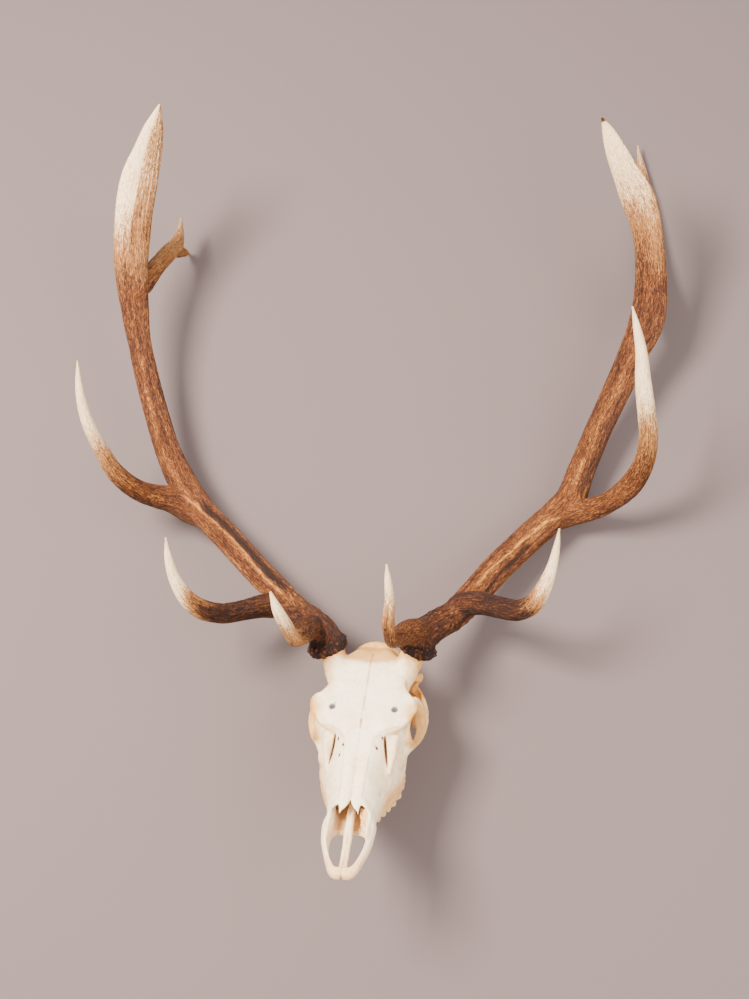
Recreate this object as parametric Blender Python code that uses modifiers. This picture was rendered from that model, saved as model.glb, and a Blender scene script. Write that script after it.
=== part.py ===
"""Skull of a bull elk, cleaned and without its lower jaw, with both antlers still on it.

Units are metres, +Z is up. The object lies on its back, as it settles on a level surface: on the back of
the skull and on the hindmost points of the two antlers. The origin is under the middle of its box.

Two inner frames keep the sizes readable. The skull frame has its origin under the tip of the muzzle, at
the level of the biting surface of the teeth, with +Y towards the back of the head, +X towards the
animal's left and +Z towards the forehead. The head frame is the one in which the animal would hold its
head up, with +Z up the antlers and +Y behind them. Left and right are the animal's own.
"""

import math

import bmesh
import bpy
import numpy as np
from mathutils import Matrix, Vector

MM = 0.001
GAP = 0.0003
SMALLEST_WIDTH = 0.002
COLLECTION_NAME = "elk_skull"
CUTTER_COLLECTION_NAME = "elk_skull_cutters"

# How the whole head lies on the surface
REST_PITCH = math.radians(-61.63)
REST_ROLL = math.radians(2.06)
REST_PLACE = Vector((-0.0277, -0.3837, 0.2399))

# The skull in the head frame
NOSE_DOWN = math.radians(21.0)
NOSE_TURN = math.radians(-8.5)
SKULL_ROLL = math.radians(1.0)
MUZZLE_TIP = Vector((-0.050, -0.190, -0.320))

# Skull sizes, in millimetres in the skull frame
SECTION_SIDES = 28
BODY_STATIONS = (
    # y, lowest z, widest z, highest z, half widths at the three
    (1, 4, 8, 13, 9, 12, 9),
    (5, 3, 9, 16, 15, 19, 15),
    (14, 3, 10, 19, 19, 25, 20),
    (34, 5, 14, 27, 24, 32, 27),
    (60, 9, 24, 40, 28, 40, 32),
    (88, 12, 33, 55, 31, 43, 30),
    (112, 14, 36, 68, 33, 38, 20),
    (135, 14, 38, 77, 36, 41, 20),
    (180, 11, 44, 95, 49, 55, 25),
    (215, 8, 44, 110, 59, 66, 32),
    (228, 8, 50, 116, 60, 69, 42),
    (239, 12, 62, 123, 57, 71, 58),
    (262, 20, 110, 130, 47, 79, 64),
    (285, 36, 126, 137, 36, 84, 66),
    (312, 44, 130, 145, 34, 63, 56),
    (335, 46, 126, 152, 36, 58, 56),
    (356, 45, 118, 159, 42, 58, 58),
    (368, 45, 105, 157, 44, 56, 50),
    (400, 46, 92, 152, 46, 53, 34),
    (425, 52, 86, 141, 44, 51, 28),
    (440, 60, 88, 130, 34, 42, 22),
    (447, 70, 92, 118, 20, 26, 14),
)
NASAL_HOLLOW = (
    (14.5, -8, 20, 60, 8, 10, 10),
    (19, -8, 20, 60, 12, 15, 14),
    (26, -8, 20, 60, 15, 19, 18),
    (40, -8, 22, 70, 18, 25, 24),
    (60, -8, 30, 80, 20, 31, 29),
    (78, -8, 36, 88, 20, 33, 31),
    (86, -8, 38, 92, 16, 33, 30),
    (90, 18, 40, 92, 20, 33, 28),
    (98, 19, 41, 90, 22, 33, 22),
    (102, 19, 42, 60, 22, 33, 17),
    (113, 19, 43, 62, 22, 33, 16),
    (135, 20, 45, 72, 22, 33, 15),
    (180, 24, 50, 88, 22, 34, 18),
    (225, 40, 60, 98, 12, 20, 14),
)
ORBIT_CENTRE = Vector((80, 272, 97))
ORBIT_RADIUS = 28
ORBIT_RIM = 6
RIM_TURNS = 24
RIM_SIDES = 8
BAR_STEP = 0.006
VOXEL = 0.0028
OUTSIDE_SOFTENING = 4
LAST_SOFTENING = 3
SKULL_FACE_SHARE = 0.0303

# Bars of bone on each side: x, y, z, width and height in millimetres, for the animal's left
OUTER_BARS = {
    "zygomatic_arch": (
        (60, 214, 60, 12, 16),
        (72, 244, 68, 12, 18),
        (87, 275, 68, 12, 20),
        (95, 305, 76, 11, 18),
        (91, 338, 86, 12, 16),
        (79, 366, 92, 13, 16),
        (60, 392, 97, 18, 18),
    ),
    "postorbital_bar": (
        (76, 300, 128, 16, 16),
        (84, 304, 112, 12, 23),
        (85, 304, 92, 12, 26),
        (85, 300, 72, 14, 20),
    ),
    "pedicle": (
        (44, 326, 114, 44, 40),
        (54, 350, 137, 42, 44),
        (67, 376, 160, 41, 45),
        (77, 405, 184, 42, 46),
    ),
    "temporal_edge": (
        (60, 352, 126, 16, 14),
        (73, 368, 124, 14, 16),
        (79, 384, 115, 11, 18),
        (72, 397, 100, 12, 16),
        (56, 404, 88, 14, 16),
    ),
    "lacrimal_pillar": (
        (62, 258, 112, 22, 18),
        (55, 234, 101, 17, 18),
        (54, 208, 84, 13, 14),
        (50, 186, 62, 9, 10),
    ),
    "tooth_ridge": (
        (31, 122, 21, 12, 12),
        (40, 157, 17, 20, 16),
        (50, 192, 14, 24, 18),
        (55, 215, 11, 25, 18),
        (57, 242, 11, 24, 18),
        (55, 266, 18, 16, 18),
    ),
    "brow_rim": (
        (38, 226, 115, 10, 8),
        (58, 233, 118, 12, 8),
        (77, 260, 124, 12, 9),
        (84, 282, 125, 10, 9),
        (79, 302, 129, 12, 10),
    ),
    "pterygoid": ((14, 266, 28, 6, 20), (16, 290, 34, 5, 20), (18, 312, 44, 5, 14)),
    "neck_process": ((40, 424, 62, 14, 16), (40, 428, 46, 9, 11), (38, 430, 32, 6, 6)),
}
# Lumps of bone on each side: middle, radii and turn in degrees, for the animal's left
OUTER_LUMPS = {
    "condyle": ((19, 446, 64), (14, 13, 17), (0, 0, 15)),
    "ear_capsule": ((30, 390, 46), (11, 15, 11), (0, 0, 0)),
    "braincase": ((22, 385, 106), (36, 48, 46), (0, 0, 0)),
    "mastoid": ((44, 414, 80), (12, 16, 26), (0, 0, 0)),
    "cheek_bone": ((60, 228, 60), (12, 24, 16), (0, 0, 0)),
    "jaw_socket": ((60, 378, 74), (20, 15, 10), (0, 0, 0)),
}
NUCHAL_CREST = (
    (-46, 424, 104, 12, 10),
    (-32, 432, 133, 12, 10),
    (0, 436, 145, 12, 10),
    (32, 432, 133, 12, 10),
    (46, 424, 104, 12, 10),
)
ORBIT_FACING = Vector((0.96, -0.18, 0.18))

# Hollows: middle, radii and turn, or a route as for the bars
BRAIN_HOLLOW = ((0, 385, 102), (34, 40, 28), (0, 0, 0))
NECK_OPENING = ((0, 475, 66, 34, 30), (0, 445, 74, 31, 28), (0, 415, 86, 28, 26))
THROAT_HOLLOW = ((0, 302, 26), (14, 40, 22), (0, 0, 0))
PALATE_HOLLOW = ((0, 200, 1), (35, 74, 16), (0, 0, 0))
SIDE_HOLLOWS = {
    "orbit": ((90, 270, 97), (36, 27, 26), (0, -8, -16)),
    "orbit_floor": ((54, 287, 93), (28, 18, 16), (0, 0, 12)),
    "temporal_fossa": ((72, 342, 98), (13, 32, 32), (0, 0, 0)),
    "face_gap": ((44, 204, 92), (2.6, 30, 15), (27, 0, 12)),
    "brow_hole": ((51, 264, 137), (4.8, 6.2, 9), (0, 0, 0)),
    "cheek_hole": ((46, 148, 50), (8, 9, 5), (0, 0, 0)),
}

# Bones inside the nose
NOSE_BAR = (
    (0, 6, 10, 18, 9),
    (0, 30, 13, 15, 9),
    (0, 60, 21, 14.5, 12),
    (0, 90, 31, 14, 15),
    (0, 120, 38, 13, 20),
    (0, 165, 46, 9, 26),
    (0, 205, 58, 9, 32),
)
NASAL_BONE = (
    (14.2, 89, 57, 2.5, 3),
    (13.8, 95, 60.5, 6, 4.5),
    (11.8, 100, 63, 12, 6),
    (10.2, 106, 66, 16.5, 7.5),
    (9.6, 112, 68, 17.5, 8),
    (9.8, 130, 75, 19, 9),
    (12, 180, 95, 22, 9),
    (13, 226, 113, 24, 9),
)
NOSE_SCROLL = ((31, 100, 38), (5.5, 45, 15), (0, 0, 0))

# Cheek teeth in millimetres: place across and along, rise of the biting surface, length, width and turn
TEETH = (
    (34.5, 141, 5, 15, 13, 17),
    (39.5, 157, 3, 15, 16, 16),
    (44.0, 173, 0, 15, 18, 16),
    (49.5, 192, -4, 21, 20, 14),
    (54.5, 215, -7, 23, 21, 9),
    (57.0, 240, -8, 24, 20, 5),
)
TOOTH_SIDES = 8
TOOTH_SQUARENESS = 0.7
TOOTH_ROOT_HEIGHT = 24
TOOTH_NECK_HEIGHT = 15
TOOTH_CUSP_HEIGHT = 3.0
TOOTH_CUSP_RELIEF = 2.5
TOOTH_BASIN_HEIGHT = 6.5

# Antler routes in the head frame: x, y, z, width across the front and depth, all in metres
BEAM_SIDES = 16
TINE_SIDES = 10
BEAM_STEP = 0.036
TINE_STEP = 0.034
BEAD_COUNT = 8
BEAD_RELIEF = 0.10
RIDGE_RELIEF = 0.030
RIDGE_COUNT = 5
RIDGE_TWIST = 6.0
BURR_HEIGHT = 0.034
BURR_RINGS = (
    # share of the burr's height, swelling, how much the beads stand out
    (0.0, 1.02, 0.4),
    (0.12, 1.16, 1.0),
    (0.32, 1.20, 1.0),
    (0.52, 1.10, 0.7),
    (0.75, 1.01, 0.2),
    (1.0, 1.0, 0.0),
)
# The burr is oblique: near it the rings tip towards the face, so that its front edge hangs lower
BURR_TILT = math.radians(40.0)
BURR_TILT_REACH = 0.060
FACE_FRONT = (0.0, -1.0, 0.0)
# The direction in which each limb's width is measured where it leaves the beam
LIMB_WIDTH_AXES = {
    "brow_tine": (1.0, 0.0, 0.0),
    "bez_tine": (0.0, 0.0, 1.0),
    "trez_tine": (0.0, 0.0, 1.0),
    "end_branch": (1.0, 0.0, 0.0),
}
SEAT_RADIUS = 0.045
SEAT_DEPTH = 0.060

LEFT_STEM = (
    (0.069, 0.095, -0.029, 0.055, 0.054),
    (0.078, 0.111, -0.006, 0.054, 0.052),
    (0.103, 0.137, 0.008, 0.053, 0.050),
    (0.138, 0.170, 0.022, 0.052, 0.050),
    (0.173, 0.205, 0.050, 0.052, 0.048),
    (0.210, 0.235, 0.085, 0.053, 0.047),
    (0.270, 0.275, 0.135, 0.054, 0.046),
    (0.320, 0.300, 0.175, 0.056, 0.046),
    (0.355, 0.320, 0.205, 0.057, 0.046),
    (0.380, 0.340, 0.260, 0.052, 0.045),
    (0.415, 0.365, 0.335, 0.051, 0.043),
    (0.450, 0.385, 0.405, 0.053, 0.042),
    (0.480, 0.400, 0.470, 0.055, 0.042),
    (0.508, 0.415, 0.530, 0.066, 0.043),
    (0.516, 0.420, 0.585, 0.062, 0.042),
    (0.515, 0.420, 0.635, 0.058, 0.040),
    (0.511, 0.420, 0.680, 0.056, 0.038),
    (0.502, 0.415, 0.722, 0.060, 0.036),
    (0.486, 0.410, 0.762, 0.064, 0.033),
    (0.462, 0.405, 0.808, 0.050, 0.028),
    (0.441, 0.400, 0.850, 0.037, 0.022),
    (0.426, 0.395, 0.882, 0.020, 0.014),
    (0.415, 0.390, 0.902, 0.003, 0.003),
)
LEFT_BROW = (
    (0.099, 0.136, 0.003, 0.030, 0.030),
    (0.076, 0.108, 0.004, 0.047, 0.045),
    (0.056, 0.076, 0.009, 0.045, 0.042),
    (0.039, 0.040, 0.007, 0.032, 0.031),
    (0.027, 0.003, 0.012, 0.023, 0.025),
    (0.022, -0.012, 0.042, 0.021, 0.022),
    (0.024, -0.020, 0.080, 0.016, 0.017),
    (0.021, -0.028, 0.115, 0.011, 0.012),
    (0.019, -0.033, 0.140, 0.003, 0.003),
)
LEFT_BEZ = (
    (0.125, 0.175, 0.022, 0.050, 0.046),
    (0.150, 0.160, 0.040, 0.044, 0.042),
    (0.180, 0.138, 0.048, 0.041, 0.038),
    (0.210, 0.112, 0.045, 0.037, 0.035),
    (0.243, 0.085, 0.045, 0.035, 0.033),
    (0.264, 0.067, 0.060, 0.032, 0.030),
    (0.277, 0.056, 0.085, 0.027, 0.026),
    (0.289, 0.046, 0.120, 0.018, 0.018),
    (0.296, 0.040, 0.155, 0.012, 0.012),
    (0.300, 0.035, 0.188, 0.003, 0.003),
)
LEFT_TREZ = (
    (0.306, 0.294, 0.163, 0.038, 0.035),
    (0.340, 0.305, 0.178, 0.047, 0.042),
    (0.381, 0.297, 0.189, 0.043, 0.039),
    (0.415, 0.270, 0.205, 0.039, 0.036),
    (0.453, 0.240, 0.242, 0.041, 0.037),
    (0.470, 0.212, 0.285, 0.037, 0.034),
    (0.472, 0.190, 0.330, 0.034, 0.032),
    (0.465, 0.175, 0.370, 0.033, 0.030),
    (0.455, 0.160, 0.425, 0.028, 0.025),
    (0.449, 0.150, 0.475, 0.020, 0.020),
    (0.440, 0.145, 0.515, 0.013, 0.013),
    (0.431, 0.140, 0.550, 0.003, 0.003),
)
LEFT_END = (
    (0.512, 0.420, 0.510, 0.036, 0.036),
    (0.524, 0.462, 0.545, 0.044, 0.042),
    (0.540, 0.515, 0.600, 0.038, 0.038),
    (0.552, 0.590, 0.685, 0.034, 0.034),
    (0.554, 0.655, 0.780, 0.028, 0.028),
    (0.548, 0.695, 0.848, 0.018, 0.018),
    (0.542, 0.716, 0.903, 0.003, 0.003),
)

RIGHT_STEM = (
    (-0.077, 0.113, -0.030, 0.056, 0.055),
    (-0.086, 0.131, -0.006, 0.054, 0.052),
    (-0.108, 0.153, 0.011, 0.051, 0.049),
    (-0.132, 0.175, 0.024, 0.050, 0.048),
    (-0.173, 0.205, 0.060, 0.049, 0.046),
    (-0.213, 0.235, 0.095, 0.049, 0.045),
    (-0.265, 0.270, 0.145, 0.050, 0.044),
    (-0.316, 0.300, 0.193, 0.052, 0.044),
    (-0.352, 0.330, 0.240, 0.054, 0.044),
    (-0.377, 0.350, 0.287, 0.049, 0.043),
    (-0.402, 0.375, 0.355, 0.047, 0.041),
    (-0.423, 0.395, 0.425, 0.045, 0.039),
    (-0.441, 0.410, 0.500, 0.044, 0.038),
    (-0.452, 0.425, 0.585, 0.058, 0.040),
    (-0.456, 0.430, 0.640, 0.064, 0.041),
    (-0.454, 0.430, 0.685, 0.068, 0.040),
    (-0.449, 0.425, 0.730, 0.070, 0.038),
    (-0.432, 0.415, 0.805, 0.067, 0.034),
    (-0.420, 0.410, 0.838, 0.056, 0.030),
    (-0.405, 0.400, 0.885, 0.036, 0.022),
    (-0.392, 0.390, 0.926, 0.004, 0.004),
)
RIGHT_BROW = (
    (-0.105, 0.150, 0.002, 0.034, 0.034),
    (-0.110, 0.122, 0.009, 0.044, 0.042),
    (-0.115, 0.088, 0.011, 0.044, 0.042),
    (-0.123, 0.056, 0.006, 0.031, 0.031),
    (-0.131, 0.028, 0.008, 0.024, 0.026),
    (-0.142, 0.000, 0.034, 0.022, 0.023),
    (-0.155, -0.020, 0.065, 0.017, 0.018),
    (-0.165, -0.030, 0.095, 0.004, 0.004),
)
RIGHT_BEZ = (
    (-0.150, 0.195, 0.030, 0.048, 0.044),
    (-0.187, 0.175, 0.037, 0.042, 0.040),
    (-0.222, 0.145, 0.035, 0.036, 0.035),
    (-0.260, 0.110, 0.035, 0.034, 0.032),
    (-0.290, 0.082, 0.048, 0.033, 0.030),
    (-0.310, 0.066, 0.068, 0.028, 0.026),
    (-0.326, 0.055, 0.097, 0.021, 0.020),
    (-0.336, 0.045, 0.135, 0.014, 0.014),
    (-0.340, 0.040, 0.173, 0.003, 0.003),
)
RIGHT_TREZ = (
    (-0.290, 0.285, 0.168, 0.036, 0.034),
    (-0.335, 0.302, 0.190, 0.049, 0.041),
    (-0.366, 0.303, 0.208, 0.049, 0.042),
    (-0.397, 0.288, 0.217, 0.043, 0.038),
    (-0.420, 0.268, 0.228, 0.038, 0.035),
    (-0.450, 0.240, 0.256, 0.034, 0.032),
    (-0.476, 0.212, 0.305, 0.027, 0.026),
    (-0.495, 0.185, 0.360, 0.021, 0.020),
    (-0.502, 0.170, 0.405, 0.015, 0.015),
    (-0.503, 0.160, 0.460, 0.003, 0.003),
)
RIGHT_END = (
    (-0.448, 0.425, 0.585, 0.050, 0.046),
    (-0.434, 0.455, 0.610, 0.040, 0.040),
    (-0.416, 0.495, 0.643, 0.034, 0.036),
    (-0.401, 0.540, 0.670, 0.033, 0.035),
    (-0.390, 0.575, 0.690, 0.028, 0.032),
    (-0.386, 0.592, 0.715, 0.015, 0.018),
    (-0.385, 0.602, 0.745, 0.003, 0.003),
)
RIGHT_END_PRONG = (
    (-0.396, 0.555, 0.672, 0.026, 0.030),
    (-0.386, 0.595, 0.676, 0.022, 0.024),
    (-0.380, 0.625, 0.676, 0.014, 0.015),
    (-0.376, 0.652, 0.676, 0.003, 0.003),
)

LEFT_ANTLER = {
    "stem": LEFT_STEM,
    "fork": 0.735,
    "brow_tine": LEFT_BROW,
    "bez_tine": LEFT_BEZ,
    "trez_tine": LEFT_TREZ,
    "end_branch": LEFT_END,
}
RIGHT_ANTLER = {
    "stem": RIGHT_STEM,
    "fork": 0.735,
    "brow_tine": RIGHT_BROW,
    "bez_tine": RIGHT_BEZ,
    "trez_tine": RIGHT_TREZ,
    "end_branch": RIGHT_END,
    "prong": RIGHT_END_PRONG,
}


def make_material(name, colour, roughness):
    """A plain Principled material."""
    material = bpy.data.materials.new(name)
    material.use_nodes = True
    shader = material.node_tree.nodes["Principled BSDF"]
    shader.inputs["Base Color"].default_value = (*colour, 1.0)
    shader.inputs["Roughness"].default_value = roughness
    shader.inputs["Metallic"].default_value = 0.0
    return material


def make_collection(name):
    """A new collection, linked to the scene."""
    collection = bpy.data.collections.new(name)
    bpy.context.scene.collection.children.link(collection)
    return collection


def route_marks(knots):
    """The distance of each knot along the straight runs of a route."""
    chords = np.linalg.norm(np.diff(knots[:, :3], axis=0), axis=1)
    return np.concatenate(([0.0], np.cumsum(chords)))


def rows_at(knots, distances):
    """Rows on a smooth curve through the knots at distances along it, every column carried along."""
    knots = np.array(knots, dtype=float)
    marks = route_marks(knots)
    slopes = np.gradient(knots, marks, axis=0)
    rows = []
    for mark in distances:
        span = min(max(int(np.searchsorted(marks, mark, side="right")) - 1, 0), len(marks) - 2)
        length = marks[span + 1] - marks[span]
        t = (mark - marks[span]) / length
        rows.append(
            (2 * t ** 3 - 3 * t ** 2 + 1) * knots[span]
            + (3 * t ** 2 - 2 * t ** 3) * knots[span + 1]
            + (t ** 3 - 2 * t ** 2 + t) * length * slopes[span]
            + (t ** 3 - t ** 2) * length * slopes[span + 1]
        )
    return np.array(rows)


def even_distances(knots, step):
    """Evenly spaced distances along a route."""
    length = route_marks(np.array(knots, dtype=float))[-1]
    count = max(3, int(round(length / step)) + 1)
    return np.linspace(0.0, length, count)


def carried_frames(points, across):
    """A width axis and a depth axis at each point of a curve, turning as little as the curve allows."""
    marks = route_marks(points)
    tangents = np.gradient(points, marks, axis=0)
    tangents /= np.linalg.norm(tangents, axis=1)[:, None]
    frames = []
    width_axis = np.array(across, dtype=float)
    for tangent in tangents:
        width_axis = width_axis - tangent * width_axis.dot(tangent)
        width_axis /= np.linalg.norm(width_axis)
        frames.append((width_axis, np.cross(tangent, width_axis)))
    return frames


def rings_to_mesh(name, rings):
    """A closed mesh through rings of points that all run the same way round."""
    builder = bmesh.new()
    rows = [[builder.verts.new(point) for point in ring] for ring in rings]
    sides = len(rows[0])
    for lower, upper in zip(rows, rows[1:]):
        for index in range(sides):
            following = (index + 1) % sides
            builder.faces.new((lower[index], lower[following], upper[following]))
            builder.faces.new((lower[index], upper[following], upper[index]))
    builder.faces.new(list(reversed(rows[0])))
    builder.faces.new(rows[-1])
    bmesh.ops.recalc_face_normals(builder, faces=builder.faces)
    bmesh.ops.triangulate(builder, faces=[face for face in builder.faces if len(face.verts) > 3])
    mesh = bpy.data.meshes.new(name)
    builder.to_mesh(mesh)
    builder.free()
    return mesh


def oval_ring(row, axes, sides, scale=None, grow=0.0):
    """An oval ring of points about a row of a route, whose last two columns are its width and depth."""
    ring = []
    for side in range(sides):
        angle = 2.0 * math.pi * side / sides
        factor = 1.0 if scale is None else scale(angle)
        half_width = max(row[3], SMALLEST_WIDTH) / 2.0 * factor + grow
        half_depth = max(row[4], SMALLEST_WIDTH) / 2.0 * factor + grow
        across = axes[0] * half_width * math.cos(angle)
        deep = axes[1] * half_depth * math.sin(angle)
        ring.append(row[:3] + across + deep)
    return ring


def limb_mesh(name, knots, step, sides, across, grow=0.0):
    """A round limb along a route, whose width and depth follow the route's last two columns."""
    rows = rows_at(knots, even_distances(knots, step))
    frames = carried_frames(rows[:, :3], across)
    rings = [oval_ring(row, axes, sides, grow=grow) for row, axes in zip(rows, frames)]
    return rings_to_mesh(name, rings)


def add_object(name, mesh, collection, parent, material=None):
    """An object of the mesh in the collection, placed under the parent."""
    item = bpy.data.objects.new(name, mesh)
    collection.objects.link(item)
    item.parent = parent
    if material is not None:
        item.data.materials.append(material)
        item.data.shade_smooth()
    return item


def add_empty(name, collection, parent=None):
    """An empty that carries other objects."""
    empty = bpy.data.objects.new(name, None)
    collection.objects.link(empty)
    empty.parent = parent
    return empty


def hide_cutter(item):
    """A cutter stays out of the render and shows as wires."""
    item.hide_render = True
    item.display_type = "WIRE"
    return item


def combine(item, other, operation, solver="EXACT"):
    """Cut one object by another, or join the other to it."""
    modifier = item.modifiers.new("with_" + other.name, "BOOLEAN")
    modifier.operation = operation
    modifier.solver = solver
    modifier.object = other


def section_outline(station, sides):
    """A smooth closed outline across the skull, mirrored left to right."""
    y, z_low, z_wide, z_high, low, wide, high = station
    half = [(0.0, z_low), (low, z_low), (wide, z_wide), (high, z_high), (0.0, z_high + 1.0)]
    corners = half + [(-x, z) for x, z in reversed(half[1:-1])]
    corners = np.array(corners)
    count = len(corners)
    ring = []
    for index in range(sides):
        place = index * count / sides
        span = int(place)
        t = place - span
        before, start, end, after = (corners[(span + shift) % count] for shift in (-1, 0, 1, 2))
        point = 0.5 * (
            2 * start
            + (end - before) * t
            + (2 * before - 5 * start + 4 * end - after) * t ** 2
            + (3 * start - before - 3 * end + after) * t ** 3
        )
        ring.append(Vector((point[0], y, point[1])) * MM)
    return ring


def section_body(name, stations, sides=SECTION_SIDES):
    """A closed body through sections across the skull."""
    return rings_to_mesh(name, [section_outline(station, sides) for station in stations])


def blob_mesh(name, centre, radii, turn=(0.0, 0.0, 0.0)):
    """An egg-shaped lump, in millimetres in the skull frame, turned by degrees about its own middle."""
    mesh = bpy.data.meshes.new(name)
    builder = bmesh.new()
    bmesh.ops.create_uvsphere(builder, u_segments=20, v_segments=12, radius=1.0)
    spin = Matrix.Rotation(math.radians(turn[2]), 4, "Z")
    spin = spin @ Matrix.Rotation(math.radians(turn[1]), 4, "Y")
    spin = spin @ Matrix.Rotation(math.radians(turn[0]), 4, "X")
    shape = Matrix.Translation(Vector(centre) * MM) @ spin @ Matrix.Diagonal((*(Vector(radii) * MM), 1.0))
    bmesh.ops.transform(builder, matrix=shape, verts=builder.verts)
    builder.to_mesh(mesh)
    builder.free()
    return mesh


def side_blob(name, centre, radii, turn, side):
    """An egg-shaped lump given for the animal's left, or its mirror image where the side is negative."""
    placed = (centre[0] * side, centre[1], centre[2])
    return blob_mesh(name, placed, radii, (turn[0], turn[1] * side, turn[2] * side))


def bone_bar(name, knots, side=1.0, sides=12):
    """A bar of bone through points x, y, z, width, height in millimetres, on the side given by a sign."""
    scaled = [[value * MM for value in knot] for knot in knots]
    for knot in scaled:
        knot[0] *= side
    start = np.array(scaled[0][:3])
    end = np.array(scaled[-1][:3])
    across = (1.0, 0.0, 0.0) if abs(end[1] - start[1]) > abs(end[0] - start[0]) else (0.0, 1.0, 0.0)
    return limb_mesh(name, scaled, BAR_STEP, sides, across)


def ring_mesh(name, centre, radius, thickness, facing):
    """A round rim of bone about a centre, with its axis along a direction."""
    builder = bmesh.new()
    axis = Vector(facing).normalized()
    first = axis.orthogonal().normalized()
    second = axis.cross(first)
    rows = []
    for turn in range(RIM_TURNS):
        angle = 2.0 * math.pi * turn / RIM_TURNS
        outward = first * math.cos(angle) + second * math.sin(angle)
        row = []
        for side in range(RIM_SIDES):
            spin = 2.0 * math.pi * side / RIM_SIDES
            reach = radius + thickness * math.cos(spin)
            point = Vector(centre) + outward * reach + axis * thickness * math.sin(spin)
            row.append(builder.verts.new(point * MM))
        rows.append(row)
    for index, row in enumerate(rows):
        following = rows[(index + 1) % RIM_TURNS]
        for side in range(RIM_SIDES):
            step = (side + 1) % RIM_SIDES
            builder.faces.new((row[side], row[step], following[step], following[side]))
    bmesh.ops.recalc_face_normals(builder, faces=builder.faces)
    mesh = bpy.data.meshes.new(name)
    builder.to_mesh(mesh)
    builder.free()
    return mesh


def join_meshes(name, meshes):
    """One mesh of several closed shells, which may run through each other."""
    builder = bmesh.new()
    for mesh in meshes:
        builder.from_mesh(mesh)
    joined = bpy.data.meshes.new(name)
    builder.to_mesh(joined)
    builder.free()
    for mesh in meshes:
        bpy.data.meshes.remove(mesh)
    return joined


def skull_outer_forms():
    """Every outward form of the skull, as closed shells that overlap."""
    forms = [section_body("skull_body", BODY_STATIONS)]
    forms.append(bone_bar("nuchal_crest", NUCHAL_CREST, sides=10))
    for side in (1.0, -1.0):
        orbit = Vector((ORBIT_CENTRE.x * side, ORBIT_CENTRE.y, ORBIT_CENTRE.z))
        facing = Vector((ORBIT_FACING.x * side, ORBIT_FACING.y, ORBIT_FACING.z))
        forms.append(ring_mesh("orbit_rim", orbit, ORBIT_RADIUS, ORBIT_RIM, facing))
        for name, knots in OUTER_BARS.items():
            forms.append(bone_bar(name, knots, side))
        for name, (centre, radii, turn) in OUTER_LUMPS.items():
            forms.append(side_blob(name, centre, radii, turn, side))
    return forms


def skull_hollow_forms():
    """The hollows of the skull: nose, eye sockets, braincase and the small openings."""
    hollows = [section_body("nasal_hollow", NASAL_HOLLOW)]
    hollows.append(blob_mesh("brain_hollow", *BRAIN_HOLLOW))
    hollows.append(bone_bar("neck_opening", NECK_OPENING, sides=20))
    hollows.append(blob_mesh("throat_hollow", *THROAT_HOLLOW))
    hollows.append(blob_mesh("palate_hollow", *PALATE_HOLLOW))
    for side in (1.0, -1.0):
        for name, (centre, radii, turn) in SIDE_HOLLOWS.items():
            hollows.append(side_blob(name, centre, radii, turn, side))
    return hollows


def inner_bones():
    """The bar along the floor of the nose, the scrolls beside it and the nasal bones over it."""
    forms = [bone_bar("nose_bar", NOSE_BAR)]
    centre, radii, turn = NOSE_SCROLL
    for side in (1.0, -1.0):
        forms.append(bone_bar("nasal_bone", NASAL_BONE, side))
        forms.append(side_blob("nose_scroll", centre, radii, turn, side))
    return forms


def fuse(item, voxel):
    """Make overlapping closed shells one closed shell."""
    modifier = item.modifiers.new("fuse", "REMESH")
    modifier.mode = "VOXEL"
    modifier.voxel_size = voxel
    modifier.adaptivity = 0.0


def soften(item, name, times):
    """Take the sharp creases off a fused form."""
    modifier = item.modifiers.new(name, "SMOOTH")
    modifier.factor = 0.5
    modifier.iterations = times


def squared_wave(wave, reach, grow):
    """A round outline made squarer, and moved outward by a growth."""
    return math.copysign(reach * abs(wave) ** TOOTH_SQUARENESS + grow, wave)


def tooth_mesh(name, tooth, side, grow=0.0):
    """One cheek tooth: a root in the bone and a crown with cusps round a basin, or its socket if grown."""
    out, along, rise, length, width, turn = tooth
    lean = math.radians(turn)
    inside = TOOTH_BASIN_HEIGHT if grow == 0.0 else -TOOTH_BASIN_HEIGHT
    levels = (
        (TOOTH_ROOT_HEIGHT + grow / MM, 0.86, 0.0),
        (TOOTH_NECK_HEIGHT, 0.92, 0.0),
        (TOOTH_CUSP_HEIGHT, 0.98, TOOTH_CUSP_RELIEF),
        (inside, 0.42, 0.0),
    )
    rings = []
    for height, scale, relief in levels:
        ring = []
        for index in range(TOOTH_SIDES):
            angle = 2.0 * math.pi * (index + 0.5) / TOOTH_SIDES
            x = squared_wave(math.cos(angle), width / 2.0 * scale, grow / MM)
            y = squared_wave(math.sin(angle), length / 2.0 * scale, grow / MM)
            across = x * math.cos(lean) + y * math.sin(lean)
            ahead = y * math.cos(lean) - x * math.sin(lean)
            z = height + rise + relief * (-0.5 if index % 2 else 0.5)
            ring.append(Vector(((out + across) * side, along + ahead, z)) * MM)
        rings.append(ring)
    return rings_to_mesh(name, rings)


def stem_distances(knots, fork):
    """Where the rings of a stem lie: close together at the burr, and on both sides of the fork's cut."""
    distances = [share * BURR_HEIGHT for share, _, _ in BURR_RINGS]
    for distance in even_distances(knots, BEAM_STEP):
        if distance > BURR_HEIGHT + BEAM_STEP / 2 and abs(distance - fork) > BEAM_STEP / 3:
            distances.append(distance)
    return sorted(distances + [fork, fork + GAP])


def tipped(direction, along, distance):
    """A direction some way above the burr, tipped towards the face as far as the burr is oblique there."""
    angle = BURR_TILT * max(0.0, 1.0 - distance / BURR_TILT_REACH)
    hinge = Vector(along).cross(Vector(FACE_FRONT)).normalized()
    return np.array(Matrix.Rotation(angle, 3, hinge) @ Vector(direction))


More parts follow.
